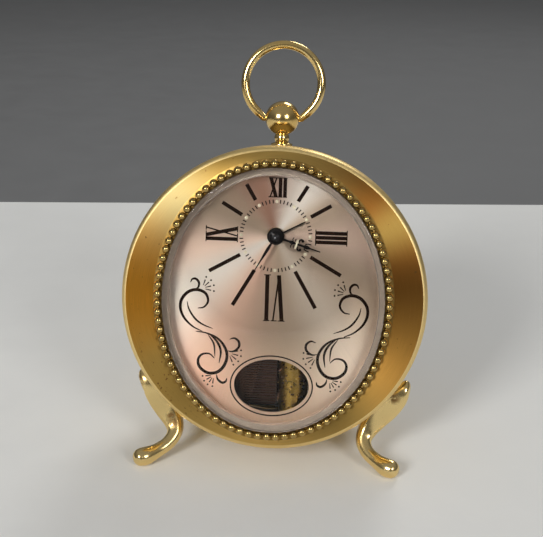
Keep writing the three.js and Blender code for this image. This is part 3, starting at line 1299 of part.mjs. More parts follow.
addAt('hour_hand', HUB, hourHand(), blackPaint).rotation.y = HOUR_HAND_ANGLE;
addAt('minute_hand', HUB, minuteHand(), blackPaint).rotation.y = MINUTE_HAND_ANGLE;
addAt('alarm_hand', HUB, alarmHand(), blackPaint).rotation.y = ALARM_HAND_ANGLE;
addAt('hub_nut', HUB, hubNut(), blackPaint);

addAt('time_key', TIME_ARBOR, windingKey(), polishedBrass);
addAt('music_key', MUSIC_ARBOR, windingKey(), polishedBrass);
addAt('hand_set_knob', HUB, knob(), polishedBrass);
addAt('alarm_set_knob', ALARM_ARBOR, knob(), polishedBrass);
addAt('alarm_stop_button', STOP, stopButton(), polishedBrass);
addAt('regulator_lever', BALANCE, regulator(), steel).rotation.y = -REGULATOR_ANGLE;

add('music_bedplate', bedplate(), wheelBrass);
musicPostPlaces().forEach((place, i) => addAt(`music_post_${i + 1}`, place, musicPost(), steel));
add('comb_base', combBase(), wheelBrass);
add('music_comb', comb(), darkSteel);
combScrewHeights().forEach((z, i) => {
  addAt(`comb_screw_${i + 1}`, new THREE.Vector2(combScrewX, z), combScrew(), steel);
});
add('music_cylinder', musicCylinder(), wheelBrass).position.set(CYLINDER_X, CYLINDER_DEPTH, 0);
add('cylinder_bracket_top', bracket(TOP_BRACKET), wheelBrass).position.x = CYLINDER_X;
add('cylinder_bracket_bottom', bracket(BOTTOM_BRACKET), wheelBrass).position.x = CYLINDER_X;
addAt('music_barrel', MUSIC_ARBOR, musicBarrel(), wheelBrass);
addAt('music_winding_arbor', MUSIC_ARBOR, musicArbor(), steel);

// Lean the clock back and stand it on the table, centred over the origin.
clock.rotation.x = -LEAN;
const stand = new THREE.Group();
stand.add(clock);
stand.updateMatrixWorld(true);
const bounds = new THREE.Box3().setFromObject(stand, true);
const middle = bounds.getCenter(new THREE.Vector3());
stand.position.set(-middle.x, -middle.y, -bounds.min.z);

export default stand;
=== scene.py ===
"""Musical alarm clock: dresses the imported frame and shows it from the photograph's side.

Pieces are drawn in the clock's own frame in millimetres, with its origin at the centre of the round
rim: x to the right, y to the back and z up the face. The clock leans back in the row frame.
"""
import json
from math import asin, cos, hypot, pi, radians, sin, tau
from random import Random

import bmesh
import bpy
from mathutils import Matrix, Vector


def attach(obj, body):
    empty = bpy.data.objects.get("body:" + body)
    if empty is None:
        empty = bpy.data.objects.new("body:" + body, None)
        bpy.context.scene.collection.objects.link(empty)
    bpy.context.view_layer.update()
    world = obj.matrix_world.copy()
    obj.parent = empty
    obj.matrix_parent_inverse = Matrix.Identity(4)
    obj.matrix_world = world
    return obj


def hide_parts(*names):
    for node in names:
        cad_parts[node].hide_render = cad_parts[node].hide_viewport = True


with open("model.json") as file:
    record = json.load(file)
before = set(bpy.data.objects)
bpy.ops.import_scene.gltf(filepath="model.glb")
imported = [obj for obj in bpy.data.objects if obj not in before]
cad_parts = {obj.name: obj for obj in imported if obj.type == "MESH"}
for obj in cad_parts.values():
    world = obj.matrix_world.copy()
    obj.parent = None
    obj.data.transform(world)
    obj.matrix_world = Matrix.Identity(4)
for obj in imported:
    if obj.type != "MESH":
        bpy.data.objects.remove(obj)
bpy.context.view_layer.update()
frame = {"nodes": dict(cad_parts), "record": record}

# Photograph and camera, fitted to the rim, the oval bead wire and the pendant
IMAGE_WIDTH = 543
IMAGE_HEIGHT = 537
TABLE_EDGE_LEFT = 202
TABLE_EDGE_RIGHT = 205
FOCAL_PIXELS = 1100
SENSOR_WIDTH = 36
CLIP_START = 0.01
CAMERA_TILT = radians(8.08)
CAMERA_YAW = radians(-3.35)
CAMERA_ROLL = radians(-1.74)
CAMERA_OFFSET = Vector((0.66, -9.06, -322.44))

# Case, where an oval is its half width and half height
RIM_RADIUS = 44.88
SHOULDER_WIDTH = 1.5
SHOULDER_RISE = 2.7
SHOULDER_TURNS = (0.25, 0.5, 0.75, 1.0, 1.25)
BEZEL_SKIRT = 4
BEZEL_SHEET = 0.7
BEZEL_LIP = 1.4
BEZEL_FACE_SHARES = (0.05, 0.5, 0.95)
DRUM_RADIUS = 43.85
DRUM_WALL = 1.2
DRUM_FRONT = 1
DRUM_DEPTH = 38
DRUM_BEVEL = 0.5
COVER_BACK = 36.1
COVER_SHEET = 1.2
BEAD_OVAL = (33.5, 39.9)
BEAD_RADIUS = 1.25
BEAD_COUNT = 87
BEAD_WIRE = 0.35
BEAD_WIRE_SINK = 0.6
BEAD_PLANE = -5.1
BEAD_SEAT = -4.35
BEAD_SEAT_OUTSIDE = BEAD_RADIUS + 0.2
BEAD_SEAT_INSIDE = BEAD_RADIUS - 0.15
CRYSTAL_OVAL = (32.2, 38.6)
CRYSTAL_FRONT = -6.4
CRYSTAL_RISE = 1.8
CRYSTAL_BACK = -2.9
CRYSTAL_WALL = 1.8
CRYSTAL_ROUND = 0.5
CRYSTAL_FOOT_SHARE = 0.955
CRYSTAL_HOLLOW_SHARE = 0.945
CRYSTAL_SIDE_SHARE = 0.97

# Dial
DIAL_FRONT = 1
DIAL_BACK = 1.6
DIAL_RADIUS = 42.5
HUB_HEIGHT = 18.6
HUB_HOLE = 2.56
INK_LIFT = 0.03
INK_DEPTH = DIAL_FRONT - INK_LIFT
WINDOW_HEIGHT = -26.16
WINDOW_OVAL = (11.14, 8.0)
WINDOW_LINE_GAP = 1.05
WINDOW_LINE = 0.42
MINUTE_RING_RADIUS = 10.1
MINUTE_TICK = 1.12
MINUTE_TICK_WIDTH = 0.32
HOUR_DOT_RADIUS = 0.5
HOUR_DOT_FLATNESS = 0.3
STICK_WIDTH = 1.12
THIN_STROKE = 0.4
SERIF = 0.3

# Hands
HAND_SHEET = 0.4
GAP = 0.3
ALARM_HAND_FRONT = DIAL_FRONT - 2 * GAP - HAND_SHEET
HOUR_HAND_FRONT = ALARM_HAND_FRONT - 2 * GAP - HAND_SHEET
MINUTE_HAND_FRONT = HOUR_HAND_FRONT - 2 * GAP - HAND_SHEET
HUB_NUT_BACK = MINUTE_HAND_FRONT - GAP
MINUTE_HAND_LENGTH = 13.5
HOUR_HAND_LENGTH = 13.7
ALARM_HAND_LENGTH = 9.5
MINUTE_HAND_TURN = radians(210)
HOUR_HAND_TURN = radians(107)
ALARM_HAND_TURN = radians(62)
ALARM_HAND_ROOT = 2.5
HOUR_HAND_ROOT = 2.3
MINUTE_HAND_ROOT = 1.8
BOSS_BEVEL = 0.08
HUB_DOME_RADIUS = 1.65
HUB_DOME_RISE = 0.85
HUB_DOME_FOOT = 0.45

# Pendant and bow
PENDANT_DEPTH = 17
BALL_HEIGHT = 52.6
BALL_RADIUS = 5.12
NECK_RADIUS = 1.9
NECK_SWELL = 0.35
NECK_SHARES = (0.15, 0.3, 0.45, 0.6, 0.75, 0.9)
NECK_COLLAR = 0.4
FLANGE_RADIUS = 3.3
FLANGE_RISE = 1.3
FLANGE_SINK = 0.4
BOW_RADIUS = 11.43
BOW_OFFSET = 10.36
BOW_WIRE = 1.27
BOW_PIN = 1.05
BOW_PIN_STEPS = (-3.5, -0.9, 0.5)
BOW_START = radians(-48)
BOW_STEPS = 96

# Music movement
CYLINDER_X = 6.3
CYLINDER_DEPTH = 8
CYLINDER_HEIGHT = -26.4
CYLINDER_LENGTH = 17
CYLINDER_RADIUS = 4.41
CYLINDER_RIM = 0.3
CYLINDER_WALL = 1.2
CYLINDER_OVERLAP = 0.01
CYLINDER_PIN = 0.42
CYLINDER_PIN_ROOT = 0.2
CYLINDER_PIN_RADII = (0.3, 0.25)
CYLINDER_MARGIN = 1.3
CYLINDER_ROWS = 18
CYLINDER_ROW_PINS = 4
CYLINDER_TUNE = 7
COMB_FRONT = 7.55
COMB_BOTTOM = -33.36
COMB_PITCH = 0.8
COMB_TEETH = 18
# Dark lines of painted shade in the comb's slots: width, left end and right end.
COMB_SHADE_WIDTH = 0.27
COMB_SHADE_LEFT = -8.6
COMB_SHADE_RIGHT = -3.3

# Controls on the back
KEY_FRONT = 36.6
KEY_WING_SHEET = 1.7
TIME_KEY = (-5.475, 28.083)
MUSIC_KEY = (6.3, -7.87)
HAND_KNOB = (0, HUB_HEIGHT)
ALARM_KNOB = (11.041, 15.642)
STOP_BUTTON = (-14.5, 12)
KNURL = 0.3
KNOB_RIBS = 20
COVER_SCREW_CIRCLE = 41.0
COVER_SCREWS = 3
SCREW_FRONT = COVER_BACK + 0.1
SCREW_RISE = 1.0
SCREW_SLOT = (1.48, 0.17)
SCREW_SLOT_FLOOR = 0.55
SCREW_SLOT_LIFT = 0.02
SCREW_TURN = 0.7
SCREW_TURN_STEP = 1.9
COVER_INK_DEPTH = COVER_BACK + INK_LIFT
ARROW_LINE = 0.45
ARROW_HEAD = 1.3
ARROW_BARB = 0.6
ARROW_STEPS = 24
# Each arrow's radius, start and end.
KEY_ARROW = (9, radians(140), radians(215))
KNOB_ARROW = (5.2, radians(150), radians(225))
BALANCE = (11, 26.5)
REGULATOR_TURN = radians(45)
REGULATOR_SWING = radians(20)
REGULATOR_SCALE = 10.6
REGULATOR_TICKS = 9
REGULATOR_LONG_TICK = 1.4
REGULATOR_SHORT_TICK = 0.8
REGULATOR_TICK_WIDTH = 0.2

# Studio, in metres
STUDIO_SIZE = 4
TABLE_COLOR = (0.86, 0.86, 0.835)
GROUND_COLOR = (0.207, 0.209, 0.21)
WORLD_COLOR = (0.83, 0.83, 0.83)
WORLD_LOW = 0.12
WORLD_LOW_AT = 0.1
WORLD_HIGH = 0.33
WORLD_HIGH_AT = 0.9
LAMP_SIZE = 0.45
LAMP_SPREAD = radians(80)
FRONT_LAMP_AIM = (0, 0.5, 0.05)
BACK_LAMP_AIM = (0, 0, 0.05)
# Each lamp's name, place, aim and power.
LAMPS = [
    ("lamp_left", (-0.73, -1.32, 0.77), FRONT_LAMP_AIM, 3.25),
    ("lamp_right", (0.83, -1.18, 0.69), FRONT_LAMP_AIM, 1.4),
    ("lamp_back", (0.35, 1.2, 1.0), BACK_LAMP_AIM, 1),
]

MM = 0.001
WELD = 1e-7
MIRROR = Matrix.Scale(-1, 4, (1, 0, 0))


def clock_matrix():
    """The clock's frame in the row frame, from the centre arbor's joint."""
    turn = next(j for j in frame["record"]["behaviour"]["joints"] if j["name"] == "minute_turn")
    back = Vector(turn["axis"]).normalized()
    right = Vector((1, 0, 0))
    up = right.cross(back)
    matrix = Matrix((right, back, up)).transposed().to_4x4()
    matrix.translation = Vector(turn["pos_m"]) - HUB_HEIGHT * MM * up
    return matrix


CLOCK = clock_matrix()
TO_CLOCK = CLOCK.inverted()


# Mesh helpers

def add_object(name, data):
    """A new object in the scene."""
    made = bpy.data.objects.new(name, data)
    bpy.context.scene.collection.objects.link(made)
    return made


def build(name, part, material, body="case", replaces=(), sharp=40):
    """A smooth-shaded piece from a part in the clock's frame, which rides on a body."""
    points, faces = part
    mesh = bpy.data.meshes.new(name)
    mesh.from_pydata([CLOCK @ (Vector(point) * MM) for point in points], [], faces)
    cleaned = bmesh.new()
    cleaned.from_mesh(mesh)
    bmesh.ops.remove_doubles(cleaned, verts=cleaned.verts, dist=WELD)
    bmesh.ops.recalc_face_normals(cleaned, faces=cleaned.faces)
    cleaned.to_mesh(mesh)
    cleaned.free()
    mesh.shade_smooth()
    mesh.set_sharp_from_angle(angle=radians(sharp))
    mesh.materials.append(material)
    piece = add_object(mesh.name, mesh)
    bpy.context.view_layer.update()
    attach(piece, body)
    if replaces:
        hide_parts(*replaces)
    return piece


def paint(piece, material, chosen):
    """One more material, for the faces that a test of their number and middle chooses."""
    piece.data.materials.append(material)
    for i, face in enumerate(piece.data.polygons):
        if chosen(i, TO_CLOCK @ face.center / MM):
            face.material_index = len(piece.data.materials) - 1


def merge(*parts):
    """One list of points and faces from several."""
    points, faces = [], []
    for part_points, part_faces in parts:
        start = len(points)
        points.extend(part_points)
        faces.extend([start + i for i in face] for face in part_faces)
    return points, faces


def moved(part, matrix):
    """A part's points after a matrix, with the same faces."""
    return [matrix @ Vector(point) for point in part[0]], part[1]


def at(part, place):
    """A part moved to an (x, z) place on the face or the back."""
    return moved(part, Matrix.Translation((place[0], 0, place[1])))


def on_hub(turn):
    """Turns something that points up the face and sets it on the hub."""
    return Matrix.Translation((0, 0, HUB_HEIGHT)) @ Matrix.Rotation(turn, 4, "Y")


def upright(part, x, depth):
    """Stands a part that was made about the y axis, so that its depth becomes its height."""
    return moved(part, Matrix(((1, 0, 0, x), (0, 0, -1, depth), (0, 1, 0, 0), (0, 0, 0, 1))))


def shares(count):
    """Even shares from 0 to 1."""
    return [i / count for i in range(count + 1)]


def between(start, end, share):
    """The number at a share of the way from one number to another."""
    return start + (end - start) * share


def circle(steps):
    """Even turns round a full circle."""
    return [tau * i / steps for i in range(steps)]


def polar_point(x, z, radius, turn):
    """The (x, z) point at a turn round another."""
    return x + radius * cos(turn), z + radius * sin(turn)


def grown(size, margin):
    """An oval's half width and half height, with a margin all round."""
    return size[0] + margin, size[1] + margin


def scaled(size, share):
    """A share of an oval's half width and half height."""
    return size[0] * share, size[1] * share


def oval(x, z, half_width, half_height, steps):
    """Corners round an oval, as (x, z)."""
    return [(x + half_width * cos(turn), z + half_height * sin(turn)) for turn in circle(steps)]


def arc(x, z, radius, start, end, steps):
    """Corners along a round bend, as pairs."""
    turns = [between(start, end, share) for share in shares(steps)]
    return [polar_point(x, z, radius, turn) for turn in turns]


def skin(loops, ring=False, caps=True):
    """Quads over a row of equal closed loops, with a fan of triangles at each open end."""
    size = len(loops[0])
    points = [Vector(point) for loop in loops for point in loop]
    faces = []
    rows = len(loops) if ring else len(loops) - 1
    for row in range(rows):
        here, after = row * size, ((row + 1) % len(loops)) * size
        for i in range(size):
            j = (i + 1) % size
            faces.append((here + i, here + j, after + j, after + i))
    if caps and not ring:
        for start, loop in ((0, loops[0]), (len(points) - size, loops[-1])):
            points.append(sum((Vector(p) for p in loop), Vector()) / size)
            centre = len(points) - 1
            faces.extend((start + i, start + (i + 1) % size, centre) for i in range(size))
    return points, faces


def turned(outline, steps=64):
    """A turned part about the y axis, from [radius, depth] corners."""
    loops = [[(radius * sin(a), depth, radius * cos(a)) for a in circle(steps)]
             for radius, depth in outline]
    return skin(loops, caps=False)


def oval_loops(outline, steps):
    """Closed loops about the y axis, from [half width, half height, depth] corners."""
    return [[(width * cos(a), depth, height * sin(a)) for a in circle(steps)]
            for width, height, depth in outline]


def oval_ring(outline, steps):
    """A closed ring of oval loops, skinned from section to section."""
    return skin(list(zip(*oval_loops(outline, steps))), ring=True)


def smooth_path(points, steps):
    """Points along a curve that passes through the given ones."""
    given = [Vector(p) for p in points]
    ends = [2 * given[0] - given[1]] + given + [2 * given[-1] - given[-2]]
    path = []
    for i in range(len(given) - 1):
        before, start, end, after = ends[i:i + 4]
        for t in shares(steps)[:-1]:
            path.append(0.5 * (2 * start + (end - before) * t
                               + (2 * before - 5 * start + 4 * end - after) * t * t
                               + (3 * start - before - 3 * end + after) * t ** 3))
    path.append(given[-1])
    return path


def smooth_line(points, steps):
    """The same in a plane, from pairs to pairs."""
    return [(p.x, p.y) for p in smooth_path([(*point, 0) for point in points], steps)]


def neighbours(path, i):
    """The points before and after one of a path, or the point itself at an end."""
    return path[max(i - 1, 0)], path[min(i + 1, len(path) - 1)]


def tube(path, radii, sides=16, ring=False):
    """A round wire along a path, with one radius for each of its points."""
    path = [Vector(p) for p in path]
    loops = []
    across = None
    for i, point in enumerate(path):
        before, after = neighbours(path, i)
        if ring:
            before, after = path[i - 1], path[(i + 1) % len(path)]
        along = (after - before).normalized()
        if across is None:
            across = along.orthogonal().normalized()
        across = (across - along * across.dot(along)).normalized()
        other = along.cross(across)
        loops.append([point + radii[i] * (cos(a) * across + sin(a) * other) for a in circle(sides)])
    return skin(loops, ring=ring)


def ball(centre, radius, rings=10, sides=16):
    """A round ball."""
    loops = []
    for ring in range(1, rings):
        a = pi * ring / rings
        loops.append([(radius * sin(a) * cos(t), radius * cos(a), radius * sin(a) * sin(t))
                      for t in circle(sides)])
    points, faces = skin(loops, caps=False)
    size = len(points)
    points += [Vector((0, radius, 0)), Vector((0, -radius, 0))]
    last = size - sides
    faces += [(k, (k + 1) % sides, size) for k in range(sides)]
    faces += [(last + k, last + (k + 1) % sides, size + 1) for k in range(sides)]
    return [Vector(centre) + p for p in points], faces


def ribbon(path, widths, depth=0.0):
    """A flat strip in the dial's plane along (x, z) points, with one width for each of them."""
    points = []
    for i, (x, z) in enumerate(path):
        before, after = neighbours(path, i)
        along = Vector((after[0] - before[0], after[1] - before[1])).normalized()
        half = widths[i] / 2
        points.append(Vector((x - along.y * half, depth, z + along.x * half)))
        points.append(Vector((x + along.y * half, depth, z - along.x * half)))
    return points, [(2 * i, 2 * i + 1, 2 * i + 3, 2 * i + 2) for i in range(len(path) - 1)]


def bar(start, end, width, depth=0.0):
    """A straight strip of one width."""
    return ribbon([start, end], [width] * 2, depth)


def polygon(corners, depth=0.0):
    """A flat outline in the dial's plane, from (x, z) corners."""
    return [Vector((x, depth, z)) for x, z in corners], [list(range(len(corners)))]


def spot(x, z, radius, sides, depth=0.0):
    """A flat round spot in the dial's plane."""
    return polygon(oval(x, z, radius, radius, sides), depth)


def slab(part, front, back):
    """A flat part given thickness, from its front face to its back."""
    points, faces = part
    size = len(points)
    edges = {}
    for face in faces:
        for a, b in zip(face, [*face[1:], face[0]]):
            edge = min(a, b), max(a, b)
            edges[edge] = None if edge in edges else (a, b)
    sides = [(a, b, size + b, size + a) for a, b in filter(None, edges.values())]
    behind = [[size + i for i in face] for face in faces]
    return [(p[0], depth, p[2]) for depth in (front, back) for p in points], [*faces, *behind, *sides]


def sheet_with_holes(outer, holes):
    """A flat part from closed (x, z) outlines: its edge and the holes in it."""
    mesh = bmesh.new()
    edges = []
    for outline in (outer, *holes):
        corners = [mesh.verts.new((x, 0, z)) for x, z in outline]
        edges += [mesh.edges.new((corners[i - 1], corners[i])) for i in range(len(corners))]
    bmesh.ops.triangle_fill(mesh, use_beauty=True, use_dissolve=False, edges=edges)
    mesh.verts.index_update()
    part = [v.co.copy() for v in mesh.verts], [[v.index for v in f.verts] for f in mesh.faces]
    mesh.free()
    return part


# Material helpers

class Nodes:
    """A node tree, with short ways to add to it."""

    def __init__(self, tree):
        self.tree = tree

    def feed(self, socket, value):
        """Links an output to a socket, or sets the socket to a plain value."""
        if isinstance(value, bpy.types.NodeSocket):
            self.tree.links.new(value, socket)
        else:
            socket.default_value = value

    def add(self, kind, *sockets, **values):
        """A new node, with its inputs fed by place or by name and its properties set by name."""
        made = self.tree.nodes.new("ShaderNode" + kind)
        for key, value in values.items():
            if hasattr(made, key):
                setattr(made, key, value)
            else:
                self.feed(made.inputs[key.replace("_", " ")], value)
        for socket, value in zip(made.inputs, sockets):
            self.feed(socket, value)
        return made


class Finish(Nodes):
    """A Principled material, with short ways to add the textures that it needs."""

    def __init__(self, name, color, metallic, roughness):
        self.material = bpy.data.materials.new(name)
        self.material.use_nodes = True
        super().__init__(self.material.node_tree)
        self.shader = self.tree.nodes["Principled BSDF"]
        self.coordinates = None
        self.set("Base Color", (*color, 1))
        self.set("Metallic", metallic)
        self.set("Roughness", roughness)

    def set(self, socket, value):
        self.feed(self.shader.inputs[socket], value)

    def place(self):
        """Coordinates in the clock's frame, in metres."""
        if self.coordinates is None:
            mapping = self.add("Mapping", self.add("TexCoord").outputs["Object"],
                               Location=TO_CLOCK.translation, Rotation=TO_CLOCK.to_euler("XYZ"))
            self.coordinates = mapping.outputs[0]
        return self.coordinates

    def noise(self, scale, detail=2.0, roughness=0.5, vector=None):
        made = self.add("TexNoise", vector or self.place(), Scale=scale, Detail=detail,
                        Roughness=roughness)
        return made.outputs["Fac"]

    def ramp(self, source, low, high, start=0, end=1):
        """A number that goes from start to end while the source goes from low to high."""
        return self.add("MapRange", source, low, high, start, end).outputs[0]

    def math(self, operation, first, second):
        """One number from two."""
        return self.add("Math", first, second, operation=operation).outputs[0]

    def mix(self, factor, first, second):
        """A colour between two colours, by a factor."""
        made = self.add("Mix", factor, data_type="RGBA")
        for socket, value in ((made.inputs[6], first), (made.inputs[7], second)):
            self.feed(socket, (*value, 1) if isinstance(value, tuple) else value)
        return made.outputs[2]

    def brighter(self, color, value):
        """A colour made brighter or darker."""
        return self.add("HueSaturation", Color=color, Value=value).outputs[0]

    def done(self, color, roughness, relief, strength, distance):
        """The material, with its colour, its roughness and a bump."""
        self.set("Base Color", color)
        self.set("Roughness", roughness)
        bump = self.add("Bump", Strength=strength, Distance=distance, Height=relief)
        self.set("Normal", bump.outputs["Normal"])
        return self.material

    def polar(self, height=0.0):
        """From a point on the face: the distance, the turn and the steps across and up, as outputs."""
        split = self.add("SeparateXYZ", self.place())
        across = split.outputs["X"]
        up = self.math("SUBTRACT", split.outputs["Z"], height * MM)
        flat = self.add("CombineXYZ", across, up)
        length = self.add("VectorMath", flat.outputs[0], operation="LENGTH")
        return length.outputs["Value"], self.math("ARCTAN2", across, up), across, up

    def near(self, x, y, z, reach):
        """A number that falls from 1 at a place on the clock to 0 at a reach in millimetres."""
        gap = self.add("VectorMath", self.place(), Vector((x, y, z)) * MM, operation="DISTANCE")
        return self.ramp(gap.outputs["Value"], NEAR_CORE * reach * MM, reach * MM, 1, 0)

    def stretch(self, across, up):
        """Draws highlights out along a direction on the face, at right angles to the brushing."""
        along = self.add("CombineXYZ", X=across, Z=up)
        to_row = self.add("Mapping", along.outputs[0], vector_type="VECTOR",
                          Rotation=CLOCK.to_euler("XYZ"))
        to_world = self.add("VectorTransform", to_row.outputs[0], vector_type="VECTOR",
                            convert_from="OBJECT", convert_to="WORLD")
        unit = self.add("VectorMath", to_world.outputs[0], operation="NORMALIZE")
        self.set("Tangent", unit.outputs[0])
        self.set("Anisotropic", BRUSHING)

    def around(self, turn, stops):
        """A colour that goes round the face through (degrees clockwise from the top, colour) stops."""
        ramp = self.add("ValToRGB", self.ramp(turn, -pi, pi))
        ramp.color_ramp.interpolation = "EASE"
        places = sorted((((degree + 180) % 360) / 360, color) for degree, color in stops)
        first, last = places[0], places[-1]
        for place, color in places:
            ramp.color_ramp.elements.new(place).color = (*color, 1)
        half = (1 - last[0]) / (first[0] - last[0] + 1)
        seam = tuple(between(a, b, half) for a, b in zip(last[1], first[1]))
        ramp.color_ramp.elements[0].color = (*seam, 1)
        ramp.color_ramp.elements[len(places) + 1].color = (*seam, 1)
        return ramp.outputs["Color"]


# Materials

NEAR_CORE = 0.35
BRUSHING = 0.95
BRASS = (0.83, 0.56, 0.19)
PALE_BRASS = (0.88, 0.66, 0.29)
DARK_BRASS = (0.5, 0.27, 0.06)
TARNISH = (0.2, 0.1, 0.03)

# Where the legs' plating is rubbed through: x, y, z and how far, in millimetres.
WEAR = [
    (-29.9, 5.7, -40.2, 2.6),
    (-30.6, 5.9, -38.2, 1.8),
    (36.7, 4.8, -29.4, 2.2),
    (-39.8, 5.4, -27.2, 2.2),
]

# Where the bezel is most freckled: x, y, z and how far, in millimetres.
SPOTTED = (-31, -3.5, -25, 18)

# Painted reflections and shade round the face, as (degrees clockwise from the top, colour): tints that
# stand in for the warm, pale and dark wedges that the brushed dial and bezel reflect
ROSE_SILVER = (0.44, 0.29, 0.21)
DEEP_ROSE_SILVER = (0.25, 0.14, 0.095)
BLUSH_SILVER = (0.64, 0.48, 0.375)
PALE_SILVER = (0.47, 0.42, 0.36)
WARM_SILVER = (0.37, 0.28, 0.2)
SOFT_SILVER = (0.43, 0.355, 0.28)
DIAL_PAINTED_REFLECTIONS = [
    (342, DEEP_ROSE_SILVER), (35, PALE_SILVER), (62, WARM_SILVER), (90, BLUSH_SILVER),
    (118, WARM_SILVER), (148, SOFT_SILVER), (174, WARM_SILVER), (205, ROSE_SILVER),
    (238, PALE_SILVER), (262, BLUSH_SILVER), (295, WARM_SILVER),
]
# The bezel's painted reflections and shade: orange sides and bright and dark bands round the brushed
# brass.
STRAW_BRASS = (0.82, 0.54, 0.16)
SAND_BRASS = (0.43, 0.33, 0.14)
OLIVE_BRASS = (0.42, 0.26, 0.065)
DIM_BRASS = (0.3, 0.19, 0.05)
AMBER_BRASS = (0.96, 0.42, 0.045)
UMBER_BRASS = (0.33, 0.14, 0.028)
HONEY_BRASS = (0.6, 0.31, 0.066)
BEZEL_PAINTED_REFLECTIONS = [
    (5, STRAW_BRASS), (42, UMBER_BRASS), (56, OLIVE_BRASS), (73, UMBER_BRASS), (112, HONEY_BRASS),
    (146, DIM_BRASS), (186, STRAW_BRASS), (238, OLIVE_BRASS), (272, AMBER_BRASS),
    (314, SAND_BRASS), (338, OLIVE_BRASS),
]
# The back cover's own tone round its face.
COVER_SHADES = [
    (0, (0.74, 0.5, 0.17)), (90, (0.7, 0.45, 0.14)),
    (180, (0.76, 0.53, 0.19)), (270, (0.7, 0.46, 0.14)),
]


def polished_brass():
    """Polished, lacquered brass with faint smears, tarnish freckles and fine pits."""
    finish = Finish("polished_brass", BRASS, 1, 0.12)
    smear = finish.noise(90, 4, 0.6)
    freckles = finish.ramp(finish.noise(700), 0.7, 0.76, 0, 0.75)
    warm = finish.mix(finish.ramp(smear, 0.35, 0.7), PALE_BRASS, BRASS)
    color = finish.mix(freckles, warm, DARK_BRASS)
    rough = finish.ramp(smear, 0.3, 0.75, 0.09, 0.22)
    return finish.done(color, rough, finish.noise(1400, 3), 0.05, 0.0002)


def worn_brass():
    """The legs' brass: polished, with the plating rubbed dark in patches at the bends."""
    finish = Finish("worn_brass", PALE_BRASS, 1, 0.12)
    where = finish.near(*WEAR[0])
    for rubbed in WEAR[1:]:
        where = finish.math("MAXIMUM", where, finish.near(*rubbed))
    patch = finish.ramp(finish.noise(800, 5, 0.75), 0.43, 0.5, 0, 0.9)
    worn = finish.math("MULTIPLY", patch, where)
    color = finish.mix(worn, PALE_BRASS, TARNISH)
    return finish.done(color, finish.ramp(worn, 0, 1, 0.19, 0.5), finish.noise(500, 3), 0.04, 0.0004)


def brushed_brass(name, stops, fleck):
    """Brass brushed in circles about the clock's axis, coloured round the face by stops, with tarnish
    freckles.
    """
    finish = Finish(name, BRASS, 1, 0.3)
    radius, turn, across, up = finish.polar()
    outward, along = finish.ramp(radius, 0, 0.06, 0, 60), finish.ramp(turn, -pi, pi, 0, 3)
    rings = finish.add("CombineXYZ", outward, along)
    grain = finish.ramp(finish.noise(9, 4, 0.7, rings.outputs[0]), 0.3, 0.7)
    # Colour round the face: painted reflections and shade on the bezel, the brass's own tone on the back
    # cover.
    shade = finish.around(turn, stops)
    brushed = finish.mix(grain, finish.brighter(shade, 0.78), shade)
    freckles = finish.ramp(finish.noise(600), fleck, fleck + 0.03, 0, 0.8)
    spots = finish.ramp(finish.noise(900, 1), 0.68, 0.71)
    spotted = finish.math("MULTIPLY", finish.near(*SPOTTED), spots)
    freckles = finish.math("MAXIMUM", freckles, spotted)
    finish.stretch(across, up)
    color = finish.mix(freckles, brushed, TARNISH)
    return finish.done(color, finish.ramp(grain, 0, 1, 0.42, 0.49), grain, 0.04, 0.0001)


def silvered_dial():
    """Silvered metal brushed in rays from the hub: the lamps make real wedges, and painted reflections
    and shade in its colour add warm and pale wedges.
    """
    finish = Finish("silvered_dial", (0.8, 0.75, 0.69), 0.9, 0.36)
    radius, turn, across, up = finish.polar(HUB_HEIGHT)
    around, outward = finish.ramp(turn, -pi, pi, 0, 240), finish.ramp(radius, 0, 0.08, 0, 1.5)
    rays = finish.add("CombineXYZ", around, outward)
    grain = finish.ramp(finish.noise(2.2, 3, 0.65, rays.outputs[0]), 0.3, 0.7)
    # Painted light: the dial's colour made brighter towards its edge.
    painted_light_outside = finish.ramp(radius, 0.028, 0.046, 0.95, 2.0)
    shade = finish.brighter(finish.around(turn, DIAL_PAINTED_REFLECTIONS), painted_light_outside)
    finish.stretch(up, finish.math("MULTIPLY", across, -1))
    color = finish.mix(grain, finish.brighter(shade, 0.92), shade)
    return finish.done(color, finish.ramp(grain, 0, 1, 0.66, 0.74), grain, 0.05, 0.0001)


def grained(finish, grain, color, change, smooth, rough, *relief):
    """A finish whose shade, gloss and relief follow a grain."""
    darker = tuple(channel * (1 - change) for channel in color)
    shade = finish.mix(finish.ramp(grain, 0.3, 0.7), darker, color)
    return finish.done(shade, finish.ramp(grain, 0.3, 0.7, smooth, rough), grain, *relief)


def plain(name, color, metallic, roughness, scale=400, change=0.2, gloss=0.5):
    """A finish whose shade and gloss change a little over the surface."""
    finish = Finish(name, color, metallic, roughness)
    finish.set("Specular IOR Level", gloss)
    grain = finish.noise(scale, 3, 0.6)
    return grained(finish, grain, color, change, 0.8 * roughness, min(1.25 * roughness, 1), 0.03, 0.0002)


def brushed_metal(name, color, roughness, stretch):
    """Metal ground in one direction, with the grain drawn out across the stretched axes."""
    finish = Finish(name, color, 1, roughness)
    mapping = finish.add("Mapping", finish.place(), Scale=stretch)
    grain = finish.noise(6, 4, 0.7, mapping.outputs[0])
    return grained(finish, grain, color, 0.3, 0.8 * roughness, 1.3 * roughness, 0.1, 0.0001)


def clear_crystal():
    """Clear acrylic that lets the lamps through to the dial, with faint smears."""
    finish = Finish("clear_crystal", (1, 1, 1), 0, 0.03)
    finish.set("IOR", 1.22)
    finish.set("Transmission Weight", 1)
    finish.set("Roughness", finish.ramp(finish.noise(60), 0.45, 0.7, 0.015, 0.035))
    shadow = finish.add("LightPath").outputs["Is Shadow Ray"]
    through = finish.add("BsdfTransparent").outputs[0]
    both = finish.add("MixShader", shadow, finish.shader.outputs[0], through)
    finish.feed(finish.tree.nodes["Material Output"].inputs["Surface"], both.outputs[0])
    return finish.material


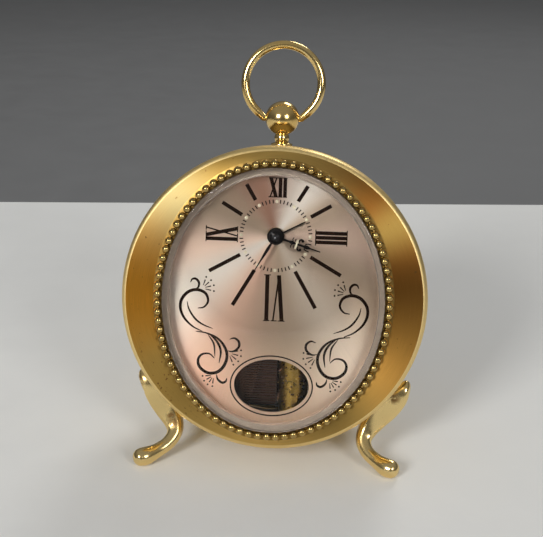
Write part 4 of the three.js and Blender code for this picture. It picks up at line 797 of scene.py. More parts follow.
brass = polished_brass()
leg_brass = worn_brass()
bezel_brass = brushed_brass("bezel_brass", BEZEL_PAINTED_REFLECTIONS, 0.72)
cover_brass = brushed_brass("cover_brass", COVER_SHADES, 0.75)
wheel_brass = plain("wheel_brass", (0.78, 0.55, 0.2), 1, 0.3, 500)
plate_brass = brushed_metal("plate_brass", (0.74, 0.52, 0.2), 0.34, (40, 40, 900))
dial_silver = silvered_dial()
ring_silver = plain("ring_silver", (0.4, 0.31, 0.245), 0.4, 0.4, 300, 0.1)
ink = plain("ink", (0.012, 0.006, 0.004), 0, 0.6, 900, 0.4, 0.0)
lume = plain("lume", (0.46, 0.41, 0.29), 0, 0.7, 1500, 0.2, 0.1)
lacquer = plain("black_lacquer", (0.006, 0.005, 0.005), 0, 0.2, 800, 0.4, 0.12)
steel = plain("steel", (0.56, 0.57, 0.58), 1, 0.28, 600)
# Dark brown steel for the comb and the cylinder's pins, darkened further as painted shade inside the
# case.
comb_steel = brushed_metal("comb_steel", (0.08, 0.042, 0.028), 0.3, (700, 40, 40))
# Dark metal that is also painted shade: inside the drum, in the screw slots and on the movement's parts
# inside the case.
dark_metal_and_shade = plain("dark_metal_and_shade", (0.02, 0.013, 0.01), 0.9, 0.4, 500)
crystal_clear = clear_crystal()
crystal_edge = plain("crystal_edge", (0.25, 0.2, 0.155), 0, 0.35, 300, 0.1, 0.15)
cylinder_brass = plain("cylinder_brass", (0.31, 0.195, 0.045), 1, 0.3, 700, 0.35)
# Painted shade: darker brass for the seat between the beads and the face.
shaded_seat_brass = plain("shaded_seat_brass", (0.3, 0.185, 0.05), 1, 0.32, 700)
shoulder_brass = plain("shoulder_brass", PALE_BRASS, 1, 0.46, 1600, 0.06)
# Painted shade: the beads' brass darkened for the dark surroundings that they reflect.
shaded_bead_brass = plain("shaded_bead_brass", (0.56, 0.39, 0.14), 1, 0.18, 900, 0.3)


# Case

def case_drum():
    inside = DRUM_RADIUS - DRUM_WALL
    cover_seat = COVER_BACK - COVER_SHEET
    lip = arc(DRUM_RADIUS - DRUM_BEVEL, DRUM_DEPTH - DRUM_BEVEL, DRUM_BEVEL, 0, pi / 2, 5)
    outline = [(inside, DRUM_FRONT), (DRUM_RADIUS, DRUM_FRONT), *lip]
    outline += [(inside, DRUM_DEPTH), (inside, cover_seat), (inside, DRUM_FRONT)]
    piece = build("drum_shell", turned(outline, 160), brass, replaces=["case_drum"])
    # Painted shade: the drum's inside wall in dark metal.
    within = inside + DRUM_WALL / 4
    paint(piece, dark_metal_and_shade, lambda i, p: hypot(p.x, p.z) < within and p.y < cover_seat)


def bezel():
    """The brushed face between a polished shoulder and the seat of the bead wire."""
    rim = (RIM_RADIUS, RIM_RADIUS)
    face, inside = grown(rim, -SHOULDER_WIDTH), grown(rim, -BEZEL_SHEET)
    seat, lip = grown(BEAD_OVAL, BEAD_SEAT_OUTSIDE), grown(BEAD_OVAL, -BEAD_SEAT_INSIDE)
    outline = [(*rim, BEZEL_SKIRT), (*rim, 0)]
    for a in SHOULDER_TURNS:
        outline.append((*grown(rim, -SHOULDER_WIDTH * (1 - cos(a))), -SHOULDER_RISE * sin(a)))
    outline.append((*face, -SHOULDER_RISE))
    polished = len(outline) - 1
    for share in BEZEL_FACE_SHARES:
        width, height = [between(a, b, share) for a, b in zip(face, seat)]
        outline.append((width, height, between(-SHOULDER_RISE, BEAD_SEAT, share)))
    brushed_end = len(outline)
    outline += [
        (*seat, BEAD_SEAT),
        (*lip, BEAD_SEAT),
        (*lip, BEAD_SEAT + BEZEL_LIP),
        (*BEAD_OVAL, BEAD_SEAT + BEZEL_LIP),
        (*grown(face, -BEZEL_SHEET), BEZEL_SHEET - SHOULDER_RISE),
        (*inside, BEZEL_SHEET / 2),
        (*inside, BEZEL_SKIRT),
    ]
    piece = build("bezel_face", oval_ring(outline, 240), bezel_brass,
                  replaces=["bezel"], sharp=50)
    paint(piece, shoulder_brass, lambda i, p: i % len(outline) < polished)
    # Painted shade in darker brass on the bead seat, its lip and the bezel's back.
    paint(piece, shaded_seat_brass, lambda i, p: i % len(outline) >= brushed_end)


def bead_turns():
    """The turns of the beads, which stand at even steps along their oval."""
    width, height = BEAD_OVAL
    fine = circle(40 * BEAD_COUNT) + [tau]
    lengths = [0.0]
    for a, b in zip(fine, fine[1:]):
        lengths.append(lengths[-1] + hypot(width * (cos(b) - cos(a)), height * (sin(b) - sin(a))))
    turns, i = [], 0
    for bead in range(BEAD_COUNT):
        while lengths[i] < lengths[-1] * bead / BEAD_COUNT:
            i += 1
        turns.append(fine[i])
    return turns


def bead_wire():
    width, height = BEAD_OVAL
    centres = [(width * cos(a), BEAD_PLANE, height * sin(a)) for a in bead_turns()]
    strung = [(x, y + BEAD_WIRE_SINK, z) for x, y, z in centres]
    wire = tube(strung, [BEAD_WIRE] * BEAD_COUNT, 10, ring=True)
    beads = [ball(centre, BEAD_RADIUS) for centre in centres]
    build("bead_wire", merge(wire, *beads), shaded_bead_brass, replaces=["beaded_rim"], sharp=60)


def crystal():
    """A thick-edged lens with a low dome, hollow behind."""
    width, height = CRYSTAL_OVAL
    outline = []
    for share in shares(24):
        rim = scaled(CRYSTAL_OVAL, share * (1 - CRYSTAL_ROUND / width))
        outline.append((*rim, CRYSTAL_FRONT - CRYSTAL_RISE * (1 - share ** 2)))
    for out, depth in arc(-CRYSTAL_ROUND, CRYSTAL_FRONT + CRYSTAL_ROUND, CRYSTAL_ROUND, -pi / 2, 0, 4):
        outline.append((*grown(CRYSTAL_OVAL, out), depth))
    outline += [(*CRYSTAL_OVAL, CRYSTAL_BACK), (*scaled(CRYSTAL_OVAL, CRYSTAL_FOOT_SHARE), CRYSTAL_BACK)]
    for share in reversed(shares(16)):
        inner = CRYSTAL_FRONT + CRYSTAL_WALL - CRYSTAL_RISE * (1 - share ** 2)
        outline.append((*scaled(CRYSTAL_OVAL, CRYSTAL_HOLLOW_SHARE * share), inner))
    piece = build("crystal_lens", skin(oval_loops(outline, 144), caps=False), crystal_clear,
                  replaces=["crystal"], sharp=50)
    side = CRYSTAL_FRONT + CRYSTAL_ROUND / 2
    paint(piece, crystal_edge,
          lambda i, p: p.y > side and hypot(p.x / width, p.z / height) > CRYSTAL_SIDE_SHARE)


def dial_ring():
    """The silver ring behind the crystal's edge: a grooved flange and a wall down to the dial."""
    front, back = CRYSTAL_BACK + 0.05, DIAL_FRONT - 0.05
    corners = [(0.1, front), (0.1, front + 0.6), (0.7, front + 0.6), (0.75, back), (1.25, back)]
    corners += [(1.2, back - 0.3), (1.15, front + 0.3)]
    for groove in (1.1, 0.72, 0.38):
        corners += [(groove, front + 0.05), (groove - 0.12, front), (groove - 0.2, front + 0.12)]
    outline = [(*grown(CRYSTAL_OVAL, -wall), depth) for wall, depth in corners]
    build("silver_ring", oval_ring(outline, 180), ring_silver,
          replaces=["dial_ring"], sharp=25)


def dial():
    sheet = sheet_with_holes(oval(0, 0, DIAL_RADIUS, DIAL_RADIUS, 120), [
        oval(0, HUB_HEIGHT, HUB_HOLE, HUB_HOLE, 40),
        oval(0, WINDOW_HEIGHT, *WINDOW_OVAL, 90),
    ])
    build("dial_plate", slab(sheet, DIAL_FRONT, DIAL_BACK), dial_silver,
          replaces=["dial"], sharp=30)


# Dial print

# The hour marks on each side: degrees from the top, inner reach and outer reach.
HOUR_STICKS = [(31, 12.0, 17.3), (59.5, 11.6, 18.4), (119.5, 11.8, 22.2), (149.7, 11.8, 24.2)]

# Each numeral: its letters, with the shares of its width where each begins and ends, then its reach
# from the hub, turn, height, width, thick stroke and shift to the right.
NUMERALS = [
    ([("X", 0, 0.46), ("I", 0.5, 0.74), ("I", 0.76, 1)], 11.4, 0, 5.5, 5.2, 1.05, 0.3),
    ([("I", -0.07, 0.41), ("I", 0.33, 0.67), ("I", 0.59, 1.07)], 11.6, pi / 2, 9.1, 4.1, 1.08, 0),
    ([("V", 0, 0.58), ("I", 0.68, 1)], 11.5, pi, 13.6, 6.1, 1.2, 0),
    ([("I", 0, 0.4), ("X", 0.34, 1)], 11.2, -pi / 2, 9.2, 4.5, 1.1, 0),
]

# Each pen stroke of the left flourish: its widest stroke, then the (x, z) points that it passes.
FLOURISH = [
    (0.62, [(-24.7, 4.0), (-24.2, 5.0), (-23.1, 5.1), (-22.2, 4.0), (-22.5, 2.5), (-24.0, 1.7)]),
    (0.8, [(-22.4, -3.6), (-20.6, -3.2), (-19.4, -1.4), (-20.2, 0.9), (-22.7, 1.9), (-25.4, 1.1),
           (-27.3, -1.3), (-27.5, -4.1), (-26.2, -6.9), (-23.7, -9.2), (-20.9, -10.5)]),
    (0.5, [(-25.6, -1.7), (-25.0, -4.0), (-23.2, -6.7), (-20.9, -8.4), (-17.8, -9.6)]),
    (0.8, [(-22.8, -10.6), (-19.6, -11.0), (-16.4, -12.4), (-14.3, -14.7), (-13.4, -17.5),
           (-14.1, -20.4), (-16.1, -22.6), (-19.0, -23.0), (-21.4, -21.4), (-22.0, -19.2),
           (-20.9, -17.5), (-18.7, -17.2), (-17.1, -18.5)]),
    (0.6, [(-19.0, -11.1), (-16.5, -13.4), (-15.3, -16.3), (-15.7, -19.9)]),
    (0.45, [(-19.2, -11.4), (-17.4, -14.2), (-17.0, -18.0)]),
    (0.62, [(-13.3, -16.1), (-11.6, -16.2), (-10.0, -14.9), (-10.0, -13.2), (-11.3, -12.2),
            (-12.8, -12.6)]),
    (0.62, [(-16.4, -23.4), (-16.0, -24.8), (-14.7, -25.8), (-13.6, -25.4), (-13.3, -24.4)]),
]
PEN = 1.2
PEN_THIN = 0.2
PEN_END = 0.06

# Each fan of rays: where it spreads from, its first and last direction, and how far it reaches.
FANS = [
    ((-21.2, 2.4), radians(72), radians(-12), 2.7),
    ((-13.0, -16.7), radians(14), radians(-66), 3.0),
    ((-17.2, -23.7), radians(186), radians(264), 2.5),
]
FAN_RAYS = 4
FAN_RAY_START = 0.35
FAN_RAY_WIDTHS = (0.2, 0.4)
FAN_DOT = 0.28
FAN_DOT_GAP = 0.85


def numeral(letters, reach, turn, height, width, thick, shift):
    """A Roman numeral whose letters stand on a circle about the hub, with their tops outward."""
    thin = THIN_STROKE * thick
    strokes = []
    for letter, start, end in letters:
        left, right = (start - 0.5) * width, (end - 0.5) * width
        middle = (left + right) / 2
        if letter == "I":
            strokes.append(((middle, 0), (middle, height), thick))
            serifs = [(left, right, 0), (left, right, height)]
        elif letter == "V":
            strokes.append(((left + 0.5 * thick, height), (middle, 0), thick))
            strokes.append(((right - 0.3 * thick, height), (middle, 0), thin))
            serifs = [(left - 0.3, left + thick + 0.5, height),
                      (right - thick - 0.3, right + 0.3, height)]
        else:
            strokes.append(((left + 0.4 * thick, height), (right - 0.4 * thick, 0), thick))
            strokes.append(((right - 0.3 * thick, height), (left + 0.3 * thick, 0), thin))
            serifs = [(left - 0.2, left + thick + 0.5, height), (right - thick, right + 0.2, height),
                      (left - 0.2, left + thick, 0), (right - thick - 0.5, right + 0.2, 0)]
        strokes += [((a, z), (b, z), SERIF) for a, b, z in serifs]
    lines = [bar(start, end, wide, INK_DEPTH) for start, end, wide in strokes]
    return moved(merge(*lines), on_hub(turn) @ Matrix.Translation((shift, 0, reach)))


def hub_mark(turn, inner, outer, width):
    """A straight mark that points to the hub."""
    return moved(bar((0, inner), (0, outer), width, INK_DEPTH), on_hub(turn))


def flourish():
    """The left flourish: pen strokes that swell in the middle, and fans of rays with dots."""
    parts = []
    for widest, points in FLOURISH:
        path = smooth_line(points, 10)
        swell = [sin(pi * between(PEN_END, 1 - PEN_END, share)) ** 0.8 for share in shares(len(path) - 1)]
        parts.append(ribbon(path, [max(PEN_THIN, PEN * widest * part) for part in swell], INK_DEPTH))
    for (x, z), first, final, reach in FANS:
        for share in shares(FAN_RAYS - 1):
            turn = between(first, final, share)
            start, end, dot = [polar_point(x, z, radius, turn)
                               for radius in (FAN_RAY_START * reach, reach, reach + FAN_DOT_GAP)]
            parts.append(ribbon([start, end], FAN_RAY_WIDTHS, INK_DEPTH))
            parts.append(spot(*dot, FAN_DOT, 12, INK_DEPTH))
    return merge(*parts)


def dial_print():
    numerals = [numeral(*row) for row in NUMERALS]
    sticks = [hub_mark(side * radians(turn), inner, outer, STICK_WIDTH)
              for turn, inner, outer in HOUR_STICKS for side in (1, -1)]
    inner, outer = MINUTE_RING_RADIUS - MINUTE_TICK / 2, MINUTE_RING_RADIUS + MINUTE_TICK / 2
    ticks = [hub_mark(tau * minute / 60, inner, outer, MINUTE_TICK_WIDTH)
             for minute in range(60) if minute % 5]
    left = flourish()
    line = oval(0, WINDOW_HEIGHT, *grown(WINDOW_OVAL, WINDOW_LINE_GAP), 120)
    line.append(line[0])
    window = ribbon(line, [WINDOW_LINE] * len(line), INK_DEPTH)
    parts = [*numerals, *sticks, *ticks, left, moved(left, MIRROR), window]
    build("dial_print", merge(*parts), ink)


def hour_dots():
    """Raised spots of pale paint on the minute ring, one for each hour."""
    parts = []
    for turn in circle(12):
        x, z = MINUTE_RING_RADIUS * sin(turn), HUB_HEIGHT + MINUTE_RING_RADIUS * cos(turn)
        flat = Matrix.Translation((x, DIAL_FRONT, z)) @ Matrix.Scale(HOUR_DOT_FLATNESS, 4, (0, 1, 0))
        parts.append(moved(ball((0, 0, 0), HOUR_DOT_RADIUS, 8, 14), flat))
    build("hour_dots", merge(*parts), lume, sharp=80)


# Hands

# The hour hand's scrolls on its right side: (x, z) points, then the widths at the ends and middle.
SCROLLS = [
    ([(0.5, 5.3), (1.0, 5.0), (1.6, 5.2)], 0.14, 0.3),
    ([(0.5, 5.9), (1.0, 5.8), (1.4, 6.0)], 0.12, 0.24),
    ([(0.5, 7.1), (1.1, 7.0), (1.65, 7.5), (1.5, 8.2)], 0.14, 0.5),
    ([(0.25, 8.9), (0.8, 9.1), (1.05, 9.8)], 0.12, 0.36),
]

# Its buds, as x, z and radius, and its bar of paint, as half its length, its z and its width.
HOUR_HAND_BUD = (1.35, 7.95, 0.42)
HOUR_HAND_PAINT = (1.3, 6.5, 0.52)
PAINT_RISE = 0.06
PAINT_SINK = 0.05

# The hub nut's foot as [radius, step forward from its back], and the arbor's end as [radius, step back].
HUB_FOOT = [(1.8, 0.42), (1.88, 0.3), (1.88, 0), (0, 0)]
HUB_PIN = [(0, -0.001), (0.2, 0), (0.22, 0.3), (0, 0.3)]


def blade(outline):
    """A hand's flat blade from (x, z) corners up its right side, mirrored on the left."""
    return polygon(outline + [(-x, z) for x, z in reversed(outline)])


def hand(name, node, body, turn, front, root, flats):
    """A black hand: flat parts given thickness, and a turned boss at their root."""
    back = front + HAND_SHEET
    boss = turned([(0, front), (root - BOSS_BEVEL, front), (root, front + BOSS_BEVEL), (root, back),
                   (0, back)], 36)
    part = merge(*(slab(flat, front, back) for flat in flats), boss)
    build(name, moved(part, on_hub(turn)), lacquer, body=body,
          replaces=[node], sharp=30)


def alarm_hand():
    needle = blade([(0.24, 1.5), (0.18, 8.8), (0.08, ALARM_HAND_LENGTH)])
    hand("alarm_needle", "alarm_hand", "alarm", ALARM_HAND_TURN, ALARM_HAND_FRONT,
         ALARM_HAND_ROOT, [needle])


def hour_hand():
    """The ornate hand: a stem with pairs of scrolls, buds, a thin tip and a bar of pale paint."""
    flats = [blade([(0.38, 1.5), (0.28, 4.2), (0.55, 5.1), (0.28, 6.0), (0.3, 8.6), (0.62, 9.6),
                    (0.3, 10.4), (0.2, 10.9), (0.14, HOUR_HAND_LENGTH)])]
    for points, thin, thick in SCROLLS:
        path = smooth_line(points, 8)
        right = ribbon(path, [between(thin, thick, sin(pi * share)) for share in shares(len(path) - 1)])
        flats += [right, moved(right, MIRROR)]
    bud_x, bud_z, bud_radius = HOUR_HAND_BUD
    flats += [spot(side * bud_x, bud_z, bud_radius, 14) for side in (1, -1)]
    hand("hour_hand_scrolls", "hour_hand", "hour", HOUR_HAND_TURN, HOUR_HAND_FRONT,
         HOUR_HAND_ROOT, flats)
    half, z, width = HOUR_HAND_PAINT
    strip = bar((-half, z), (half, z), width)
    painted = slab(strip, HOUR_HAND_FRONT - PAINT_RISE, HOUR_HAND_FRONT + PAINT_SINK)
    build("hour_hand_paint", moved(painted, on_hub(HOUR_HAND_TURN)), lume, body="hour")


def minute_hand():
    needle = blade([(0.22, 1.5), (0.48, 4.0), (0.42, 5.6), (0.2, 8.6), (0.09, MINUTE_HAND_LENGTH)])
    hand("minute_needle", "minute_hand", "centre", MINUTE_HAND_TURN, MINUTE_HAND_FRONT,
         MINUTE_HAND_ROOT, [needle])


def hub_nut():
    """A low black dome with a stepped foot and the small end of the arbor at its centre."""
    foot = HUB_NUT_BACK - HUB_DOME_FOOT
    tip = foot - HUB_DOME_RISE
    angles = [pi / 2 * share for share in shares(10)]
    outline = [(HUB_DOME_RADIUS * sin(a), foot - HUB_DOME_RISE * cos(a)) for a in angles]
    outline += [(radius, HUB_NUT_BACK - step) for radius, step in HUB_FOOT]
    pin = turned([(radius, tip + step) for radius, step in HUB_PIN], 20)
    build("hub_dome", at(turned(outline, 56), (0, HUB_HEIGHT)), lacquer, body="centre",
          replaces=["hub_nut"], sharp=35)
    build("hub_pin", at(pin, (0, HUB_HEIGHT)), steel, body="centre")


# Pendant and bow

# The flange's edge, as steps in from its radius and down from its top.
FLANGE_EDGE = [(0.5, 0.9), (0.1, 0.7), (0, 0.45), (0.1, 0.2), (0.4, 0)]


def pendant():
    """Flange, waisted neck and ball, turned in one piece."""
    foot = DRUM_RADIUS - FLANGE_SINK
    top = DRUM_RADIUS + FLANGE_RISE
    collar = top + NECK_COLLAR
    neck_angle = asin(NECK_RADIUS / BALL_RADIUS)
    ball_foot = BALL_HEIGHT - BALL_RADIUS * cos(neck_angle)
    outline = [(0, foot), (FLANGE_RADIUS - FLANGE_EDGE[0][0], foot)]
    outline += [(FLANGE_RADIUS - inward, top - down) for inward, down in FLANGE_EDGE]
    outline += [(NECK_RADIUS + 0.5, top + 0.12), (NECK_RADIUS + 0.1, collar)]
    for share in NECK_SHARES:
        swell = NECK_SWELL * sin(pi * share) ** 0.7
        outline.append((NECK_RADIUS + swell, between(collar, ball_foot, share)))
    for share in shares(32):
        turn = between(neck_angle, pi, share)
        outline.append((BALL_RADIUS * sin(turn), BALL_HEIGHT - BALL_RADIUS * cos(turn)))
    build("pendant_ball", upright(turned(outline), 0, PENDANT_DEPTH), brass,
          replaces=["pendant"], sharp=50)


def bow():
    """The carrying ring: round wire whose ends turn in to pins in the ball."""
    loop = arc(0, BOW_OFFSET, BOW_RADIUS, BOW_START, pi - BOW_START, BOW_STEPS)
    pins = [BALL_RADIUS + step for step in BOW_PIN_STEPS]
    line = [(x, 0) for x in pins] + loop + [(-x, 0) for x in reversed(pins)]
    path = [(x, PENDANT_DEPTH, BALL_HEIGHT + z) for x, z in line]
    radii = [BOW_PIN] * len(pins) + [BOW_WIRE] * len(loop) + [BOW_PIN] * len(pins)
    build("bow_wire", tube(path, radii, 28), brass, body="bow", replaces=["bow_ring"], sharp=60)


# Legs

# Down the right leg from its tip behind the bezel to its toe: the (x, y, z) of its middle, half its
# width from front to back, its thickness outside and inside, and how square its section is.
LEG_STATIONS = [
    (40.2, 8.8, -24.9, 1.4, 0.7, 0.7, 2.0),
    (40.1, 8.5, -25.7, 2.8, 1.6, 1.6, 2.2),
    (39.6, 8.4, -27.3, 3.7, 2.0, 3.0, 2.8),
    (38.4, 8.7, -30.4, 4.0, 2.3, 6.0, 4.0),
    (35.9, 9.1, -33.9, 3.9, 2.5, 6.0, 4.0),
    (33.0, 9.3, -37.2, 3.5, 2.6, 5.0, 4.0),
    (30.4, 8.6, -40.8, 2.9, 2.5, 3.2, 3.4),
    (29.6, 7.0, -43.7, 2.4, 2.3, 2.4, 2.6),
    (31.1, 5.0, -46.4, 2.2, 2.1, 2.1, 2.1),
    (34.0, 3.0, -48.3, 2.3, 2.2, 2.2, 2.0),
    (37.0, 0.9, -49.5, 2.75, 2.75, 2.75, 2.0),
    (38.5, 0.2, -49.8, 2.75, 2.75, 2.75, 2.0),
    (39.54, -0.28, -50.0, 2.47, 2.47, 2.47, 2.0),
    (40.4, -0.68, -50.17, 1.65, 1.65, 1.65, 2.0),
    (40.76, -0.84, -50.24, 0.9, 0.9, 0.9, 2.0),
]
LEG_SIDES = 40
LEG_STEPS = 8
LEG_BEND_START = -34
RIGHT_LEG_BENT = 2.2
LEFT_LEG_DRAWN_IN = 1.5
LEG_SADDLE = -30
LEG_SADDLE_REACH = 7
LEG_CLEARANCE = 0.02


def squared(value, power):
    """A cosine or sine, pushed towards the corners of a square."""
    return (1 if value > 0 else -1) * abs(value) ** (2 / power)


def leg_point(place, mirror):
    """Keeps a point of a leg outside the drum and above the table, on its own side."""
    reach = hypot(place.x, place.z)
    clear = DRUM_RADIUS + LEG_CLEARANCE
    if reach < clear:
        place = Vector((place.x * clear / reach, place.y, place.z * clear / reach))
    on_table = CLOCK @ (place * MM)
    on_table.z = max(on_table.z, 0.0)
    place = TO_CLOCK @ on_table / MM
    return Vector((-place.x if mirror else place.x, place.y, place.z))


def leg(name, node, mirror, bent=0.0, drawn_in=0.0):
    """A cast scroll leg: a broad flat-faced saddle on the drum, a knee and a rounded toe."""
    path = smooth_path([s[:3] for s in LEG_STATIONS], LEG_STEPS)
    for point in path:
        point.x -= bent * max(0, (LEG_BEND_START - point.z) / (LEG_BEND_START - path[-1].z))
        point.x -= drawn_in * max(0, 1 - abs(point.z - LEG_SADDLE) / LEG_SADDLE_REACH)
    sizes = smooth_path([s[3:6] for s in LEG_STATIONS], LEG_STEPS)
    powers = smooth_path([(s[6], 0, 0) for s in LEG_STATIONS], LEG_STEPS)
    loops = []
    for i, point in enumerate(path):
        before, after = neighbours(path, i)
        along = (after - before).normalized()
        back = (Vector((0, 1, 0)) - along * along.y).normalized()
        out = along.cross(back)
        wide, outside, inside = sizes[i]
        loop = []
        for k in range(LEG_SIDES):
            turn = tau * (k + 0.5) / LEG_SIDES
            across, deep = squared(cos(turn), powers[i].x), squared(sin(turn), powers[i].x)
            reach = outside if across > 0 else inside
            loop.append(leg_point(point + out * (reach * across) + back * (wide * deep), mirror))
        loops.append(loop)
    build(name, skin(loops), leg_brass, replaces=[node], sharp=70)


# Music movement

def music_cylinder():
    """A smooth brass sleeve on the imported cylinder, set with rows of fine steel pins."""
    bottom, top = CYLINDER_HEIGHT - CYLINDER_LENGTH / 2, CYLINDER_HEIGHT + CYLINDER_LENGTH / 2
    bore, shoulder = CYLINDER_RADIUS - CYLINDER_WALL, CYLINDER_RADIUS - CYLINDER_RIM
    low, high = bottom - CYLINDER_OVERLAP, top + CYLINDER_OVERLAP
    outline = [(bore, low), (shoulder, low), (CYLINDER_RADIUS, bottom + CYLINDER_RIM),
               (CYLINDER_RADIUS, top - CYLINDER_RIM), (shoulder, high), (bore, high)]
    build("cylinder_sleeve", upright(turned(outline, 72), CYLINDER_X, CYLINDER_DEPTH), cylinder_brass,
          body="cylinder", sharp=30)
    pins = []
    tune = Random(CYLINDER_TUNE)
    pitch = (CYLINDER_LENGTH - 2 * CYLINDER_MARGIN) / CYLINDER_ROWS
    for row in range(CYLINDER_ROWS):
        up = Vector((0, bottom + CYLINDER_MARGIN + (row + 0.5) * pitch, 0))
        for pin in range(CYLINDER_ROW_PINS):
            turn = tau * (pin + tune.random()) / CYLINDER_ROW_PINS
            out = Vector((cos(turn), 0, sin(turn)))
            ends = [out * (CYLINDER_RADIUS + reach) + up for reach in (-CYLINDER_PIN_ROOT, CYLINDER_PIN)]
            pins.append(tube(ends, CYLINDER_PIN_RADII, 8))
    build("cylinder_pins", upright(merge(*pins), CYLINDER_X, CYLINDER_DEPTH), comb_steel,
          body="cylinder", sharp=30)


def comb_slot_shade():
    """Painted shade: dark lines that carry the comb's slots on over its plate."""
    depth = COMB_FRONT - INK_LIFT
    heights = [COMB_BOTTOM + tooth * COMB_PITCH for tooth in range(COMB_TEETH + 1)]
    lines = [bar((COMB_SHADE_LEFT, z), (COMB_SHADE_RIGHT, z), COMB_SHADE_WIDTH, depth) for z in heights]
    build("comb_slot_shade", merge(*lines), ink)


# Controls on the back

# The key's hub as [radius, depth], and the edge of its right wing as (x, depth).
KEY_HUB = [(0, 0), (2.2, 0), (2.5, 0.3), (2.5, 1.1), (2.15, 1.5), (2.15, 3.2), (2.5, 3.7), (2.4, 4.6),
           (1.4, 5), (0, 5)]
KEY_WING = [(0, 4.0), (2.6, 4.1), (5.2, 4.5), (6.9, 5.9), (7.3, 7.8), (6.5, 9.8), (4.9, 10.9),
            (2.9, 10.7), (1.3, 9.8), (0, 9.0)]

# The hole in that wing: its middle as (x, depth), its half width and half height.
KEY_HOLE = (4.5, 8.0, 1.5, 1.7)

# The knob's [radius, depth, knurl], and the stop button's and a screw head's [radius, depth].
KNOB = [(0, 0, 0), (2.9, 0, 0), (3.3, 0.3, 0), (3.4, 0.7, KNURL), (3.4, 2.9, KNURL), (3.3, 3.3, 0),
        (2.9, 3.55, 0), (2.0, 3.3, 0), (0, 3.2, 0)]
STOP_PLUNGER = [(0, 30.0), (1.4, 30.0), (1.4, 38.9), (2.8, 38.9), (3.0, 39.1), (3.0, 39.9), (2.75, 40.1),
                (2.75, 40.5), (2.4, 40.95), (1.6, 41.2), (0, 41.3)]
SCREW_HEAD = [(0, 0), (1.6, 0), (1.6, 0.45), (1.45, 0.75), (0.9, 0.95), (0, SCREW_RISE)]


def winding_key(name, node, body, place):
    """A butterfly key: a collared hub and two pierced wings with rounded edges."""
    hub = turned([(radius, KEY_FRONT + depth) for radius, depth in KEY_HUB], 40)
    edge = smooth_line(KEY_WING, 5)
    outline = edge + [(-u, v) for u, v in reversed(edge[1:-1])]
    hole_x, hole_z, *hole = KEY_HOLE
    holes = [oval(side * hole_x, hole_z, *hole, 24) for side in (1, -1)]
    flat = slab(sheet_with_holes(outline, holes), -KEY_WING_SHEET / 2, KEY_WING_SHEET / 2)
    wings = moved(flat, Matrix(((1, 0, 0, 0), (0, 0, 1, KEY_FRONT), (0, 1, 0, 0), (0, 0, 0, 1))))
    build(name, at(merge(hub, wings), place), brass, body=body, replaces=[node], sharp=35)


def knurled_knob(name, node, body, place):
    """A setting knob with a knurled edge and a dished top."""
    loops = []
    for radius, depth, knurl in KNOB:
        reaches = [(a, radius + knurl * cos(KNOB_RIBS * a)) for a in circle(4 * KNOB_RIBS)]
        loops.append([(reach * sin(a), KEY_FRONT + depth, reach * cos(a)) for a, reach in reaches])
    build(name, at(skin(loops, caps=False), place), brass, body=body, replaces=[node], sharp=35)


def stop_button():
    """A plunger with a domed, stepped cap."""
    build("stop_plunger", at(turned(STOP_PLUNGER, 44), STOP_BUTTON), brass, body="stop",
          replaces=["alarm_stop_button"], sharp=35)


def cover_screws():
    """Round screw heads, with dark blocks in their slots as painted shade."""
    head = turned([(radius, SCREW_FRONT + depth) for radius, depth in SCREW_HEAD], 36)
    half, wide = SCREW_SLOT
    slot = polygon([(-half, -wide), (half, -wide), (half, wide), (-half, wide)])
    cut = slab(slot, SCREW_FRONT + SCREW_SLOT_FLOOR, SCREW_FRONT + SCREW_RISE + SCREW_SLOT_LIFT)
    for i in range(COVER_SCREWS):
        place = polar_point(0, 0, COVER_SCREW_CIRCLE, pi / 2 + tau * (i + 0.5) / COVER_SCREWS)
        name = f"cover_screw_head_{i + 1}"
        build(name, at(head, place), steel,
              replaces=[f"back_cover_screw_{i + 1}"], sharp=40)
        slot_shade = moved(cut, Matrix.Rotation(SCREW_TURN + SCREW_TURN_STEP * i, 4, "Y"))
        build(name + "_slot_shade", at(slot_shade, place), dark_metal_and_shade, sharp=30)


def curved_arrow(place, radius, start, end):
    """A printed arrow that runs round a control, from one turn to another."""
    x, z = place
    turns = [between(start, end, share) for share in shares(ARROW_STEPS)]
    path = [(x + radius * sin(t), z + radius * cos(t)) for t in turns]
    tip, before = Vector(path[-1]), Vector(path[-3])
    along = (tip - before).normalized()
    side = Vector((-along.y, along.x)) * ARROW_HEAD * ARROW_BARB
    head = [tuple(tip + along * ARROW_HEAD), tuple(tip + side), tuple(tip - side)]
    line = ribbon(path, [ARROW_LINE] * len(path), COVER_INK_DEPTH)
    return [line, polygon(head, COVER_INK_DEPTH)]


def cover_marks():
    """Arrows round the controls and a scale at the regulator's slot."""
    parts = []
    for place in (TIME_KEY, MUSIC_KEY):
        parts += curved_arrow(place, *KEY_ARROW)
    for place in (HAND_KNOB, ALARM_KNOB):
        parts += curved_arrow(place, *KNOB_ARROW)
    for share in shares(REGULATOR_TICKS - 1):
        turn = REGULATOR_TURN + REGULATOR_SWING * (2 * share - 1)
        tick = REGULATOR_LONG_TICK if share in (0, 0.5, 1) else REGULATOR_SHORT_TICK
        ends = [polar_point(*BALANCE, REGULATOR_SCALE + step, turn) for step in (0, tick)]
        parts.append(bar(*ends, REGULATOR_TICK_WIDTH, COVER_INK_DEPTH))
    build("cover_marks", merge(*parts), ink)


# Make the pieces

